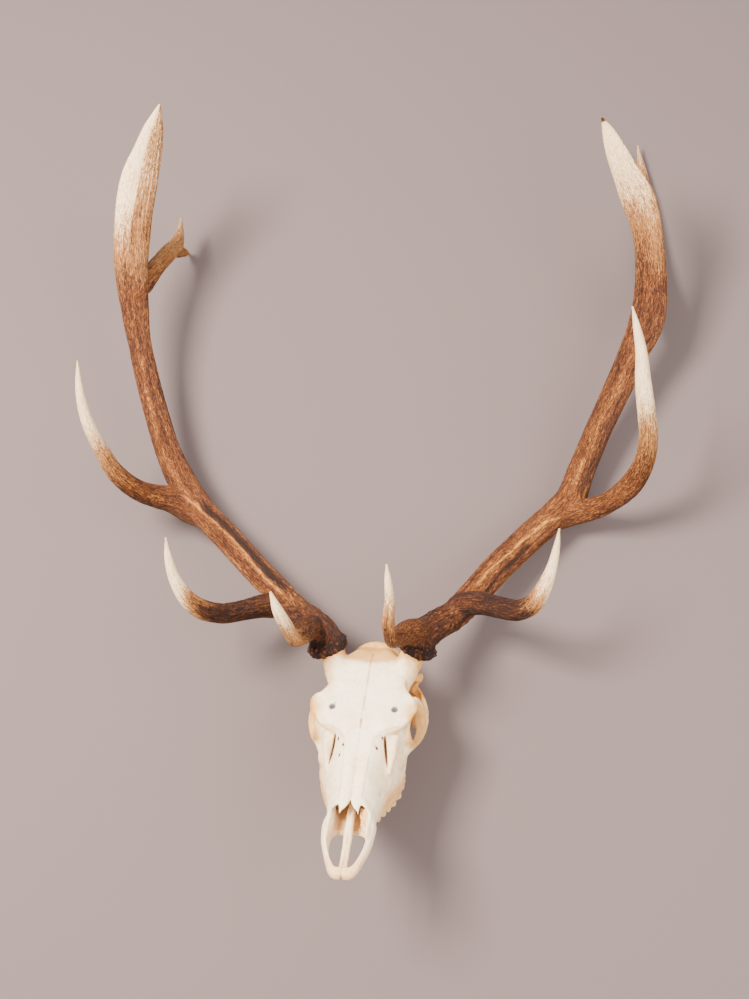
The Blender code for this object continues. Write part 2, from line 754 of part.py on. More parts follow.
def stem_rings(knots, fork, grow=0.0):
    """Every ring of a stem from its burr to the tip of its dagger, with the distance of each."""
    distances = stem_distances(knots, fork)
    rows = rows_at(knots, distances)
    frames = carried_frames(rows[:, :3], (1.0, 0.0, 0.0))
    rings = []
    for number, (distance, row, axes) in enumerate(zip(distances, rows, frames)):
        if number < len(BURR_RINGS):
            _, swell, bead = BURR_RINGS[number]
        else:
            swell, bead = 1.0, 0.0
        along = np.cross(axes[0], axes[1])
        axes = [tipped(axis, along, distance) for axis in axes]

        def scale(angle, swell=swell, bead=bead, height=row[2]):
            ridge = RIDGE_RELIEF * math.sin(RIDGE_COUNT * angle + RIDGE_TWIST * height)
            beads = bead * BEAD_RELIEF * math.cos(BEAD_COUNT * angle)
            return swell * (1.0 + beads) + ridge * (1.0 - bead)

        rings.append((distance, oval_ring(row, axes, BEAM_SIDES, scale, grow)))
    return rings


def build_antler(word, routes, materials, parts, cutters, head):
    """One antler: its beam, the dagger that goes on from it, and the limbs that leave them."""
    stem = routes["stem"]
    fork = routes["fork"]
    rings = stem_rings(stem, fork)
    lower = [ring for distance, ring in rings if distance <= fork]
    upper = [ring for distance, ring in rings if distance > fork]
    prefix = "antler_%s_" % word
    for name, run, material in (("beam", lower, materials[0]), ("dagger_tine", upper, materials[1])):
        add_object(prefix + name, rings_to_mesh(prefix + name, run), parts, head, material)
    wide = [ring for _, ring in stem_rings(stem, fork, GAP)]
    clearance = hide_cutter(
        add_object(prefix + "clearance", rings_to_mesh(prefix + "clearance", wide), cutters, head)
    )
    for name, across in LIMB_WIDTH_AXES.items():
        mesh = limb_mesh(prefix + name, routes[name], TINE_STEP, TINE_SIDES, across)
        item = add_object(prefix + name, mesh, parts, head, materials[1])
        if name == "end_branch" and "prong" in routes:
            prong = limb_mesh(prefix + "prong", routes["prong"], TINE_STEP, TINE_SIDES, across)
            prong = hide_cutter(add_object(prefix + "prong", prong, cutters, head))
            combine(item, prong, "UNION")
        combine(item, clearance, "DIFFERENCE")


def brow_clearance(word, route, cutters, head):
    """A brow tine grown by the gap, which keeps the bone stump below clear of it."""
    name = "antler_%s_brow_clearance" % word
    mesh = limb_mesh(name, route, TINE_STEP, TINE_SIDES, LIMB_WIDTH_AXES["brow_tine"], GAP)
    return hide_cutter(add_object(name, mesh, cutters, head))


def burr_seat(word, stem, cutters, head):
    """A block that cuts a bone stump off flat under a burr."""
    rows = rows_at(stem, [0.0, BURR_RINGS[1][0] * BURR_HEIGHT])
    along = Vector(rows[1][:3] - rows[0][:3]).normalized()
    axis = Vector(tipped(along, along, 0.0))
    builder = bmesh.new()
    bmesh.ops.create_cone(
        builder, cap_ends=True, segments=32, radius1=SEAT_RADIUS, radius2=SEAT_RADIUS, depth=SEAT_DEPTH
    )
    mesh = bpy.data.meshes.new("burr_seat_" + word)
    builder.to_mesh(mesh)
    builder.free()
    seat = hide_cutter(add_object("burr_seat_" + word, mesh, cutters, head))
    seat.rotation_mode = "QUATERNION"
    seat.rotation_quaternion = axis.to_track_quat("Z", "Y")
    seat.location = Vector(rows[0][:3]) + axis * (SEAT_DEPTH / 2 - GAP)
    return seat


def build_skull(bone, parts, cutters, frame):
    """The skull: its outward forms fused, its hollows cut and the thin bones of the nose put in."""
    skull = add_object("skull", join_meshes("skull", skull_outer_forms()), parts, frame, bone)
    fuse(skull, VOXEL)
    soften(skull, "soften_outside", OUTSIDE_SOFTENING)
    hollows = join_meshes("skull_hollows", skull_hollow_forms())
    hollows = hide_cutter(add_object("skull_hollows", hollows, cutters, frame))
    fuse(hollows, VOXEL)
    combine(skull, hollows, "DIFFERENCE", "MANIFOLD")
    bones = join_meshes("nose_bones", inner_bones())
    bones = hide_cutter(add_object("nose_bones", bones, cutters, frame))
    fuse(bones, VOXEL)
    combine(skull, bones, "UNION", "MANIFOLD")
    fuse(skull, VOXEL)
    soften(skull, "soften_all", LAST_SOFTENING)
    thin = skull.modifiers.new("thin_faces", "DECIMATE")
    thin.ratio = SKULL_FACE_SHARE
    return skull


def build_teeth(skull, enamel, parts, cutters, frame):
    """The two rows of cheek teeth, each tooth in a socket of its own in the skull."""
    sockets = []
    for side, word in ((1.0, "left"), (-1.0, "right")):
        for number, tooth in enumerate(TEETH, 1):
            name = "tooth_%s_%d" % (word, number)
            add_object(name, tooth_mesh(name, tooth, side), parts, frame, enamel)
            sockets.append(tooth_mesh("socket", tooth, side, GAP))
    sockets = join_meshes("tooth_sockets", sockets)
    sockets = hide_cutter(add_object("tooth_sockets", sockets, cutters, frame))
    combine(skull, sockets, "DIFFERENCE")


def main():
    """Build the whole object."""
    for item in list(bpy.data.objects):
        bpy.data.objects.remove(item, do_unlink=True)
    parts = make_collection(COLLECTION_NAME)
    cutters = make_collection(CUTTER_COLLECTION_NAME)
    bone = make_material("bone", (0.86, 0.80, 0.68), 0.55)
    enamel = make_material("tooth_enamel", (0.78, 0.68, 0.50), 0.4)
    bark = make_material("antler_bark", (0.30, 0.17, 0.09), 0.6)
    horn = make_material("antler_tine", (0.62, 0.48, 0.33), 0.5)
    head = add_empty("head", parts)
    rest_turn = Matrix.Rotation(REST_ROLL, 4, "Y") @ Matrix.Rotation(REST_PITCH, 4, "X")
    head.matrix_basis = Matrix.Translation(REST_PLACE) @ rest_turn
    skull_frame = add_empty("skull_frame", parts, head)
    skull_turn = Matrix.Rotation(NOSE_TURN, 4, "Z") @ Matrix.Rotation(NOSE_DOWN, 4, "X")
    skull_turn = skull_turn @ Matrix.Rotation(SKULL_ROLL, 4, "Y")
    skull_frame.matrix_basis = Matrix.Translation(MUZZLE_TIP) @ skull_turn
    skull = build_skull(bone, parts, cutters, skull_frame)
    build_teeth(skull, enamel, parts, cutters, skull_frame)
    for word, routes in (("left", LEFT_ANTLER), ("right", RIGHT_ANTLER)):
        build_antler(word, routes, (bark, horn), parts, cutters, head)
        combine(skull, burr_seat(word, routes["stem"], cutters, head), "DIFFERENCE")
        combine(skull, brow_clearance(word, routes["brow_tine"], cutters, head), "DIFFERENCE")


main()
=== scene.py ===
"""A cleaned bull elk skull with both antlers, lying on its back and seen square to its face.

Sizes of bone are in millimetres in the skull frame: origin under the tip of the muzzle at the level of the
biting surface, +Y towards the back of the head, +X towards the animal's left, +Z towards the forehead.
The antlers are set out in the head frame, in which the head is held up: +Z up, +Y behind the face.
Distances along them are in metres. Left and right are the animal's own.
"""

import logging
import math
from collections.abc import Callable, Iterable
from dataclasses import dataclass, field
from enum import Enum

import bpy
import numpy as np
from mathutils import Matrix, Vector

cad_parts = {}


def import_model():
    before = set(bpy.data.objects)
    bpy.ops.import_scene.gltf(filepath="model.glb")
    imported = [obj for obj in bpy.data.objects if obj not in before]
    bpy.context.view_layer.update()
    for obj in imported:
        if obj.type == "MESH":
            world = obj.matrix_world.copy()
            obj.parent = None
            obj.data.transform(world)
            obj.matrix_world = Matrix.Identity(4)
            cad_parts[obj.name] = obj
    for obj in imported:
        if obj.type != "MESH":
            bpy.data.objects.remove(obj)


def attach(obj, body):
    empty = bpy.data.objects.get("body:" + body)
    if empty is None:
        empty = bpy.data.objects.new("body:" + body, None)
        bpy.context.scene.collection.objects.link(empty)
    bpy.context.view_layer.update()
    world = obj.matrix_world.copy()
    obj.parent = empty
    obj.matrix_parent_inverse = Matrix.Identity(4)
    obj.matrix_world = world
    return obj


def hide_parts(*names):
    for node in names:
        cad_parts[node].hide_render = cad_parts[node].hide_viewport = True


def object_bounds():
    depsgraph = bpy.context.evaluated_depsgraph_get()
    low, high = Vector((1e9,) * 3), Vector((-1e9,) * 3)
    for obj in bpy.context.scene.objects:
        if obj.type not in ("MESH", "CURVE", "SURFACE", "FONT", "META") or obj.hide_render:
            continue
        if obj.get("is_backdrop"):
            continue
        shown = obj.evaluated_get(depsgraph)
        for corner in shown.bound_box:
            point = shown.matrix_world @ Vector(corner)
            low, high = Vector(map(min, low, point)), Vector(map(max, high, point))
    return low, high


LOG = logging.getLogger("elk_skull")

Triple = tuple[float, float, float]
Colour = Triple
Pairs = tuple[tuple[float, float], ...]
Table = tuple[tuple[float, ...], ...]
Mesh = bpy.types.Mesh
Object = bpy.types.Object
Material = bpy.types.Material
Socket = bpy.types.NodeSocket

MM = 0.001
MM_PER_METRE = 1000.0
ROOT = "root"

# How the head lies, and how the skull sits in the head frame
REST_PITCH = math.radians(-61.63)
REST_ROLL = math.radians(2.06)
REST_PLACE = Vector((-0.0277, -0.3837, 0.2399))
NOSE_DOWN = math.radians(21.0)
NOSE_TURN = math.radians(-8.5)
SKULL_ROLL = math.radians(1.0)
MUZZLE_TIP = Vector((-0.050, -0.190, -0.320))

# The burrs are oblique: near them a stem's rings tip towards the face, so that the front edge hangs lower
BURR_TILT = math.radians(40.0)
BURR_TILT_REACH = 0.060
FACE_FRONT = Vector((0.0, -1.0, 0.0))

# The camera of the photograph in the head frame
CAMERA_PLACE = Vector((0.0, -2.2, 0.45))
CAMERA_DIP = math.radians(5.5)
CAMERA_LENS = 50.0
CAMERA_SENSOR = 36.0


def head_matrix() -> Matrix:
    """Return the turn and place of the head as it lies on the surface."""
    turn = Matrix.Rotation(REST_ROLL, 4, "Y") @ Matrix.Rotation(REST_PITCH, 4, "X")
    return Matrix.Translation(REST_PLACE) @ turn


def skull_matrix() -> Matrix:
    """Return the turn and place of the skull frame as the head lies on the surface."""
    turn = Matrix.Rotation(NOSE_TURN, 4, "Z") @ Matrix.Rotation(NOSE_DOWN, 4, "X")
    turn = turn @ Matrix.Rotation(SKULL_ROLL, 4, "Y")
    return head_matrix() @ Matrix.Translation(MUZZLE_TIP) @ turn


def burr_turn(along: np.ndarray, distance: float) -> np.ndarray:
    """Return the turn of a stem's ring at a distance above the burr.

    Args:
        along: The stem's direction there.
        distance: The distance along the stem from its foot.

    Returns:
        A turn towards the face, which fades out above the burr.
    """
    angle = BURR_TILT * max(0.0, 1.0 - distance / BURR_TILT_REACH)
    hinge = Vector(along).cross(FACE_FRONT).normalized()
    return np.array(Matrix.Rotation(angle, 3, hinge))


class Side(Enum):
    """A side of the animal; the value is the sign of x on that side."""

    LEFT = 1.0
    RIGHT = -1.0

    @property
    def word(self) -> str:
        """The side's name as the part's nodes spell it."""
        return self.name.lower()


class Noise:
    """Seeded noise over arrays of points."""

    @staticmethod
    def _random(cells: np.ndarray, seed: int) -> np.ndarray:
        """Return a number from 0 to 1 for each whole-number cell.

        Args:
            cells: Whole-number coordinates, one row per point.
            seed: Makes one pattern differ from another.

        Returns:
            One number per row.
        """
        mixed = cells[:, 0] * 374761393 + cells[:, 1] * 668265263 + cells[:, 2] * 2147483647 + seed * 974711
        mixed = (mixed ^ (mixed >> 13)) * 1274126177
        mixed = mixed ^ (mixed >> 16)
        return (mixed & 0xFFFFFF).astype(float) / 0xFFFFFF

    @classmethod
    def smooth(cls, points: np.ndarray, seed: int) -> np.ndarray:
        """Return smooth noise from -1 to 1.

        Args:
            points: Coordinates in cells, one row per point.
            seed: Makes one pattern differ from another.

        Returns:
            One value per row.
        """
        cells = np.floor(points).astype(np.int64)
        local = points - cells
        blend = local * local * (3.0 - 2.0 * local)
        total = np.zeros(len(points))
        for corner in np.ndindex(2, 2, 2):
            shift = np.array(corner)
            weight = np.prod(np.where(shift == 1, blend, 1.0 - blend), axis=1)
            total += weight * cls._random(cells + shift, seed)
        return 2.0 * total - 1.0

    @classmethod
    def layered(cls, points: np.ndarray, layers: int, seed: int) -> np.ndarray:
        """Return noise with finer and weaker layers added to a coarse one.

        Args:
            points: Coordinates in cells of the coarsest layer, one row per point.
            layers: How many layers there are, each half the size of the one before.
            seed: Makes one pattern differ from another.

        Returns:
            One value per row.
        """
        total = np.zeros(len(points))
        for layer in range(layers):
            total += cls.smooth(points * 2.0 ** layer, seed + layer) / 2.0 ** layer
        return total

    @classmethod
    def lumps(cls, points: np.ndarray, seed: int) -> np.ndarray:
        """Return the distance to the nearest of scattered centres, in cells.

        Args:
            points: Coordinates in cells, one row per point.
            seed: Makes one pattern differ from another.

        Returns:
            One distance per row.
        """
        cells = np.floor(points).astype(np.int64)
        nearest = np.full(len(points), 9.0)
        for corner in np.ndindex(3, 3, 3):
            cell = cells + np.array(corner) - 1
            spots = np.stack([cls._random(cell, seed + axis) for axis in range(3)], axis=1)
            nearest = np.minimum(nearest, np.linalg.norm(cell + spots - points, axis=1))
        return nearest


def ease(values: np.ndarray, low: float, high: float) -> np.ndarray:
    """Return 0 below one value, 1 above the other and a smooth rise between them."""
    share = np.clip((values - low) / (high - low), 0.0, 1.0)
    return share * share * (3.0 - 2.0 * share)


def along_line(places: np.ndarray, cell: float, seed: int) -> np.ndarray:
    """Return a smooth wave from -1 to 1 at distances along a line, with swings of one cell each."""
    still = np.zeros(len(places))
    return Noise.smooth(np.stack([places / cell, still, still], axis=1), seed)


def half_circle(degrees: np.ndarray) -> np.ndarray:
    """Return angles in degrees brought to between -180 and 180."""
    return (degrees + 180.0) % 360.0 - 180.0


@dataclass
class Shell:
    """A closed surface as points and faces."""

    points: np.ndarray
    faces: list[tuple[int, ...]]

    def moved(self, matrix: Matrix) -> "Shell":
        """Return the shell moved by a matrix."""
        turn = np.array(matrix)
        return Shell(self.points @ turn[:3, :3].T + turn[:3, 3], self.faces)

    @staticmethod
    def of_rings(rings: np.ndarray, closed: bool = False) -> "Shell":
        """Return the surface through rings of points.

        Args:
            rings: Points, as rings by sides by three.
            closed: Whether the last ring meets the first, as on a torus.

        Returns:
            A closed shell, with flat ends unless it is closed round.
        """
        count, sides = rings.shape[:2]
        points = rings.reshape(-1, 3)
        faces = []
        for row in range(count if closed else count - 1):
            above = (row + 1) % count
            for side in range(sides):
                step = (side + 1) % sides
                near = (row * sides + side, row * sides + step)
                far = (above * sides + step, above * sides + side)
                faces.append(near + far)
        if not closed:
            faces.append(tuple(reversed(range(sides))))
            faces.append(tuple((count - 1) * sides + side for side in range(sides)))
        return Shell(points, faces)

    @staticmethod
    def joined(shells: list["Shell"]) -> "Shell":
        """Return one shell of several, which may run through each other."""
        faces = []
        start = 0
        for shell in shells:
            faces.extend(tuple(index + start for index in face) for face in shell.faces)
            start += len(shell.points)
        return Shell(np.concatenate([shell.points for shell in shells]), faces)

    def volume(self) -> float:
        """Return the volume inside the shell, negative where its faces point in."""
        total = 0.0
        for face in self.faces:
            corners = self.points[list(face)]
            fan = np.cross(corners[1:-1] - corners[0], corners[2:] - corners[0]).sum(axis=0)
            total += float(corners.mean(axis=0) @ fan) / 6.0
        return total

    def facing_out(self) -> "Shell":
        """Return the shell with its faces pointing out."""
        if self.volume() > 0.0:
            return self
        return Shell(self.points, [face[::-1] for face in self.faces])

    def to_mesh(self, name: str) -> Mesh:
        """Return a Blender mesh of the shell."""
        mesh = bpy.data.meshes.new(name)
        mesh.from_pydata(self.points.tolist(), [], self.faces)
        mesh.update()
        return mesh


class Sculpt:
    """A dense mesh as arrays that can be moved and painted."""

    def __init__(self, mesh: Mesh) -> None:
        """Read the mesh.

        Args:
            mesh: The mesh that the arrays stand for.
        """
        self.mesh = mesh
        self.points = np.empty(len(mesh.vertices) * 3)
        mesh.vertices.foreach_get("co", self.points)
        self.points = self.points.reshape(-1, 3)
        edges = np.empty(len(mesh.edges) * 2, dtype=np.int64)
        mesh.edges.foreach_get("vertices", edges)
        self.edges = edges.reshape(-1, 2)

    def neighbour_mean(self, values: np.ndarray) -> np.ndarray:
        """Return the mean of each point's neighbours' values."""
        count = len(self.points)
        first, second = self.edges.T
        number = np.bincount(first, minlength=count) + np.bincount(second, minlength=count)
        number = np.maximum(number, 1)
        if values.ndim == 1:
            values = values[:, None]
        total = np.stack(
            [
                np.bincount(first, column[second], count) + np.bincount(second, column[first], count)
                for column in values.T
            ],
            axis=1,
        )
        return (total / number[:, None]).squeeze()

    def relax(self, times: int, share: np.ndarray | float = 1.0) -> None:
        """Smooth the surface.

        Args:
            times: How many passes.
            share: How strongly each point moves, from 0 to 1.
        """
        weight = np.broadcast_to(np.asarray(share, dtype=float) * 0.5, len(self.points))[:, None]
        for _ in range(times):
            self.points = self.points + weight * (self.neighbour_mean(self.points) - self.points)
        self.write()

    def fill_creases(self, times: int, share: np.ndarray | float = 1.0) -> None:
        """Raise what lies below its smoothed surroundings, and leave the rest.

        Args:
            times: How many passes smooth the surroundings.
            share: How far each point rises, from 0 to 1.
        """
        heights = np.maximum(self.hollowness(times), 0.0) * share
        self.push(heights)

    def spread(self, values: np.ndarray, times: int) -> np.ndarray:
        """Return painted values smoothed over the surface."""
        for _ in range(times):
            values = 0.5 * values + 0.5 * self.neighbour_mean(values)
        return values

    def normals(self) -> np.ndarray:
        """Return the outward direction at each point."""
        found = np.empty(len(self.points) * 3)
        self.mesh.vertex_normals.foreach_get("vector", found)
        return found.reshape(-1, 3)

    def push(self, heights: np.ndarray) -> None:
        """Move each point outward by a height in metres."""
        self.points = self.points + self.normals() * heights[:, None]
        self.write()

    def hollowness(self, times: int) -> np.ndarray:
        """Return how deep each point lies below its smoothed surroundings, in metres."""
        smooth = self.points
        for _ in range(times):
            smooth = 0.5 * smooth + 0.5 * self.neighbour_mean(smooth)
        return np.einsum("ij,ij->i", smooth - self.points, self.normals())

    def paint(self, name: str, values: np.ndarray) -> None:
        """Store one number or one vector per point under a name that materials can read."""
        kind = "FLOAT" if values.ndim == 1 else "FLOAT_VECTOR"
        layer = self.mesh.attributes.new(name, kind, "POINT")
        layer.data.foreach_set("value" if values.ndim == 1 else "vector", values.ravel())

    def write(self) -> None:
        """Put the points back in the mesh."""
        self.mesh.vertices.foreach_set("co", self.points.ravel())
        self.mesh.update()


class Forge:
    """Makes one closed mesh out of overlapping forms."""

    def __init__(self, name: str) -> None:
        """Start a form.

        Args:
            name: The name of the meshes and helpers that are made.
        """
        self.name = name

    def _evaluated(
        self,
        mesh: Mesh,
        add_modifiers: Callable[[Object], None],
    ) -> Mesh:
        """Return the mesh after modifiers.

        Args:
            mesh: The mesh to change.
            add_modifiers: Adds the modifiers to an object that holds the mesh.

        Returns:
            The changed mesh.
        """
        item = bpy.data.objects.new(self.name + "_work", mesh)
        bpy.context.scene.collection.objects.link(item)
        add_modifiers(item)
        bpy.context.view_layer.update()
        graph = bpy.context.evaluated_depsgraph_get()
        result = bpy.data.meshes.new_from_object(item.evaluated_get(graph))
        bpy.data.objects.remove(item)
        return result

    def fused(self, mesh: Mesh, voxel: float) -> Mesh:
        """Return one even surface round overlapping closed shells.

        Args:
            mesh: The overlapping shells.
            voxel: The width of the new faces, in metres.

        Returns:
            The fused mesh.
        """

        def add(item: Object) -> None:
            remesh = item.modifiers.new("fuse", "REMESH")
            remesh.mode = "VOXEL"
            remesh.voxel_size = voxel
            remesh.use_smooth_shade = True

        return self._evaluated(mesh, add)

    def combined(self, mesh: Mesh, other: Mesh, operation: str) -> Mesh:
        """Return the mesh with another cut out of it or joined to it.

        Args:
            mesh: A closed mesh.
            other: The closed mesh that cuts or joins it.
            operation: DIFFERENCE or UNION.

        Returns:
            The combined mesh.
        """
        helper = bpy.data.objects.new(self.name + "_other", other)
        bpy.context.scene.collection.objects.link(helper)

        def add(item: Object) -> None:
            boolean = item.modifiers.new("combine", "BOOLEAN")
            boolean.operation = operation
            boolean.solver = "MANIFOLD"
            boolean.object = helper

        result = self._evaluated(mesh, add)
        bpy.data.objects.remove(helper)
        return result

    def thinned(self, mesh: Mesh, triangles: int) -> Mesh:
        """Return the mesh with its flatter faces merged.

        Args:
            mesh: A closed mesh.
            triangles: The most triangles that are kept.

        Returns:
            The thinned mesh.
        """
        mesh.calc_loop_triangles()
        share = triangles / len(mesh.loop_triangles)
        if share >= 1.0:
            return mesh

        def add(item: Object) -> None:
            item.modifiers.new("thin", "DECIMATE").ratio = share

        return self._evaluated(mesh, add)


class Dresser:
    """Puts finished pieces in the scene, inside the box of the solids."""

    def __init__(self, box: list[list[float]]) -> None:
        """Start with the box.

        Args:
            box: The lowest and the highest corner of the solids.
        """
        self.low, self.high = np.array(box)

    def add(
        self,
        name: str,
        sculpt: Sculpt,
        material: Material,
        nodes: list[str],
        slot: str,
    ) -> Object:
        """Put a piece in the scene.

        Args:
            name: The piece's name.
            sculpt: Its mesh, in place.
            material: Its finish.
            nodes: The solids that it stands for.
            slot: The material slot that it belongs to; not used.

        Returns:
            The new object.
        """
        mesh = sculpt.mesh
        sculpt.points = np.clip(sculpt.points, self.low, self.high)
        sculpt.write()
        piece = bpy.data.objects.new(name, mesh)
        bpy.context.scene.collection.objects.link(piece)
        mesh.materials.clear()
        mesh.materials.append(material)
        mesh.shade_smooth()
        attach(piece, ROOT)
        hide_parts(*nodes)
        mesh.calc_loop_triangles()
        LOG.info("%s: %d triangles, stands for %s", name, len(mesh.loop_triangles), ", ".join(nodes))
        return piece


class Graph:
    """Adds the shader nodes of one material."""

    def __init__(self, name: str) -> None:
        """Start a material.

        Args:
            name: The material's name.
        """
        self.material = bpy.data.materials.new(name)
        self.material.use_nodes = True
        self.tree = self.material.node_tree
        self.shader = self.tree.nodes["Principled BSDF"]

    def node(self, kind: str, inputs: dict | None = None, **settings: str | bool) -> bpy.types.Node:
        """Return a new node with its settings and inputs filled in.

        Args:
            kind: The node's type.
            inputs: Values or sockets, by the input's name or number.
            **settings: The node's own properties.

        Returns:
            The node.
        """
        made = self.tree.nodes.new(kind)
        for key, value in settings.items():
            setattr(made, key, value)
        for key, value in (inputs or {}).items():
            self.feed(made.inputs[key], value)
        return made

    def feed(self, socket: Socket, value: Socket | float | tuple[float, ...]) -> None:
        """Give a socket a value or the output of another node."""
        if isinstance(value, Socket):
            self.tree.links.new(value, socket)
        else:
            socket.default_value = value

    def painted(self, name: str, vector: bool = False) -> Socket:
        """Return a number or vector that is stored on the mesh."""
        made = self.node("ShaderNodeAttribute", attribute_name=name)
        return made.outputs["Vector" if vector else "Fac"]

    def scaled(self, vector: Socket, scale: Triple) -> Socket:
        """Return a vector with each part multiplied."""
        made = self.node("ShaderNodeVectorMath", {0: vector, 1: scale}, operation="MULTIPLY")
        return made.outputs[0]

    def noise(self, vector: Socket, scale: float, detail: float = 3.0, twist: float = 0.0) -> Socket:
        """Return noise from 0 to 1 at a scale in cells per metre."""
        inputs = {"Vector": vector, "Scale": scale, "Detail": detail, "Distortion": twist}
        return self.node("ShaderNodeTexNoise", inputs).outputs["Fac"]

    def math(
        self,
        operation: str,
        first: Socket | float,
        second: Socket | float,
        clamp: bool = False,
    ) -> Socket:
        """Return the result of one sum, kept from 0 to 1 where it is clamped."""
        made = self.node("ShaderNodeMath", {0: first, 1: second}, operation=operation, use_clamp=clamp)
        return made.outputs[0]

    def times(self, first: Socket | float, second: Socket | float) -> Socket:
        """Return the product of two numbers."""
        return self.math("MULTIPLY", first, second)

    def between(self, share: Socket | float, first: Socket, second: Socket) -> Socket:
        """Return a number that runs from one to another as a share rises."""
        step = self.times(share, self.math("SUBTRACT", second, first))
        return self.math("ADD", first, step)

    def about(self, value: Socket, weight: float) -> Socket:
        """Return how far a value lies from one half, times a weight."""
        return self.times(self.math("SUBTRACT", value, 0.5), weight)

    def total(self, start: Socket | float, *values: Socket) -> Socket:
        """Return the sum of a start value and several others, kept from 0 to 1."""
        result = start
        for value in values[:-1]:
            result = self.math("ADD", result, value)
        return self.math("ADD", result, values[-1], True)

    def ramp(
        self,
        value: Socket,
        low: float,
        high: float,
        out_low: float = 0.0,
        out_high: float = 1.0,
    ) -> Socket:
        """Return a smooth rise from one result to another, as a value runs from low to high."""
        inputs = {
            "Value": value,
            "From Min": low,
            "From Max": high,
            "To Min": out_low,
            "To Max": out_high,
        }
        made = self.node("ShaderNodeMapRange", inputs, interpolation_type="SMOOTHSTEP")
        return made.outputs["Result"]

    def colours(self, value: Socket, *stops: tuple[float, Colour]) -> Socket:
        """Return a colour that runs through several as a value rises.

        Args:
            value: The value, from 0 to 1.
            stops: Places and colours.

        Returns:
            The colour.
        """
        made = self.node("ShaderNodeValToRGB", {"Fac": value})
        elements = made.color_ramp.elements
        while len(elements) < len(stops):
            elements.new(0.5)
        for element, (place, colour) in zip(elements, stops):
            element.position = place
            element.color = (*colour, 1.0)
        return made.outputs["Color"]

    def mix(self, share: Socket, first: Socket | Colour, second: Socket | Colour) -> Socket:
        """Return one colour laid over another.

        Args:
            share: How far the second colour covers the first.
            first: The colour below.
            second: The colour above.

        Returns:
            The mixed colour.
        """
        made = self.node("ShaderNodeMix", data_type="RGBA")
        self.feed(made.inputs["Factor"], share)
        for key, value in (("A", first), ("B", second)):
            socket = [entry for entry in made.inputs if entry.name == key and entry.type == "RGBA"][0]
            self.feed(socket, value if isinstance(value, Socket) else (*value, 1.0))
        return [entry for entry in made.outputs if entry.type == "RGBA"][0]

    def bump(self, height: Socket, distance: float) -> Socket:
        """Return a surface direction tilted by a height field."""
        made = self.node("ShaderNodeBump", {"Height": height, "Distance": distance, "Strength": 1.0})
        return made.outputs["Normal"]

    def finish(self, colour: Socket, roughness: Socket | float, normal: Socket) -> Material:
        """Feed the shader.

        Args:
            colour: The surface's colour.
            roughness: How matt it is, from 0 to 1.
            normal: The direction of the surface, with its bumps.

        Returns:
            The finished material.
        """
        self.feed(self.shader.inputs["Base Color"], colour)
        self.feed(self.shader.inputs["Roughness"], roughness)
        self.feed(self.shader.inputs["Normal"], normal)
        return self.material


def shade(red: int, green: int, blue: int) -> Colour:
    """Return a screen colour from 0 to 255 as linear light."""

    def linear(value: int) -> float:
        part = value / 255.0
        return part / 12.92 if part <= 0.04045 else ((part + 0.055) / 1.055) ** 2.4

    return linear(red), linear(green), linear(blue)


@dataclass(frozen=True)
class Streaks:
    """Noise that is drawn out along the fibres of an antler."""

    scale: float
    stretch: float
    detail: float
    twist: float
    low: float
    high: float

    def field(self, graph: Graph) -> Socket:
        """Return the noise, with the stem's and the tine's fibres mixed where they meet."""
        found = []
        for name in ("fibre", "fibre_tine"):
            vector = graph.scaled(graph.painted(name, vector=True), (1.0, 1.0, self.stretch))
            found.append(graph.noise(vector, self.scale, self.detail, self.twist))
        return graph.ramp(graph.between(graph.painted("mixing"), *found), self.low, self.high)


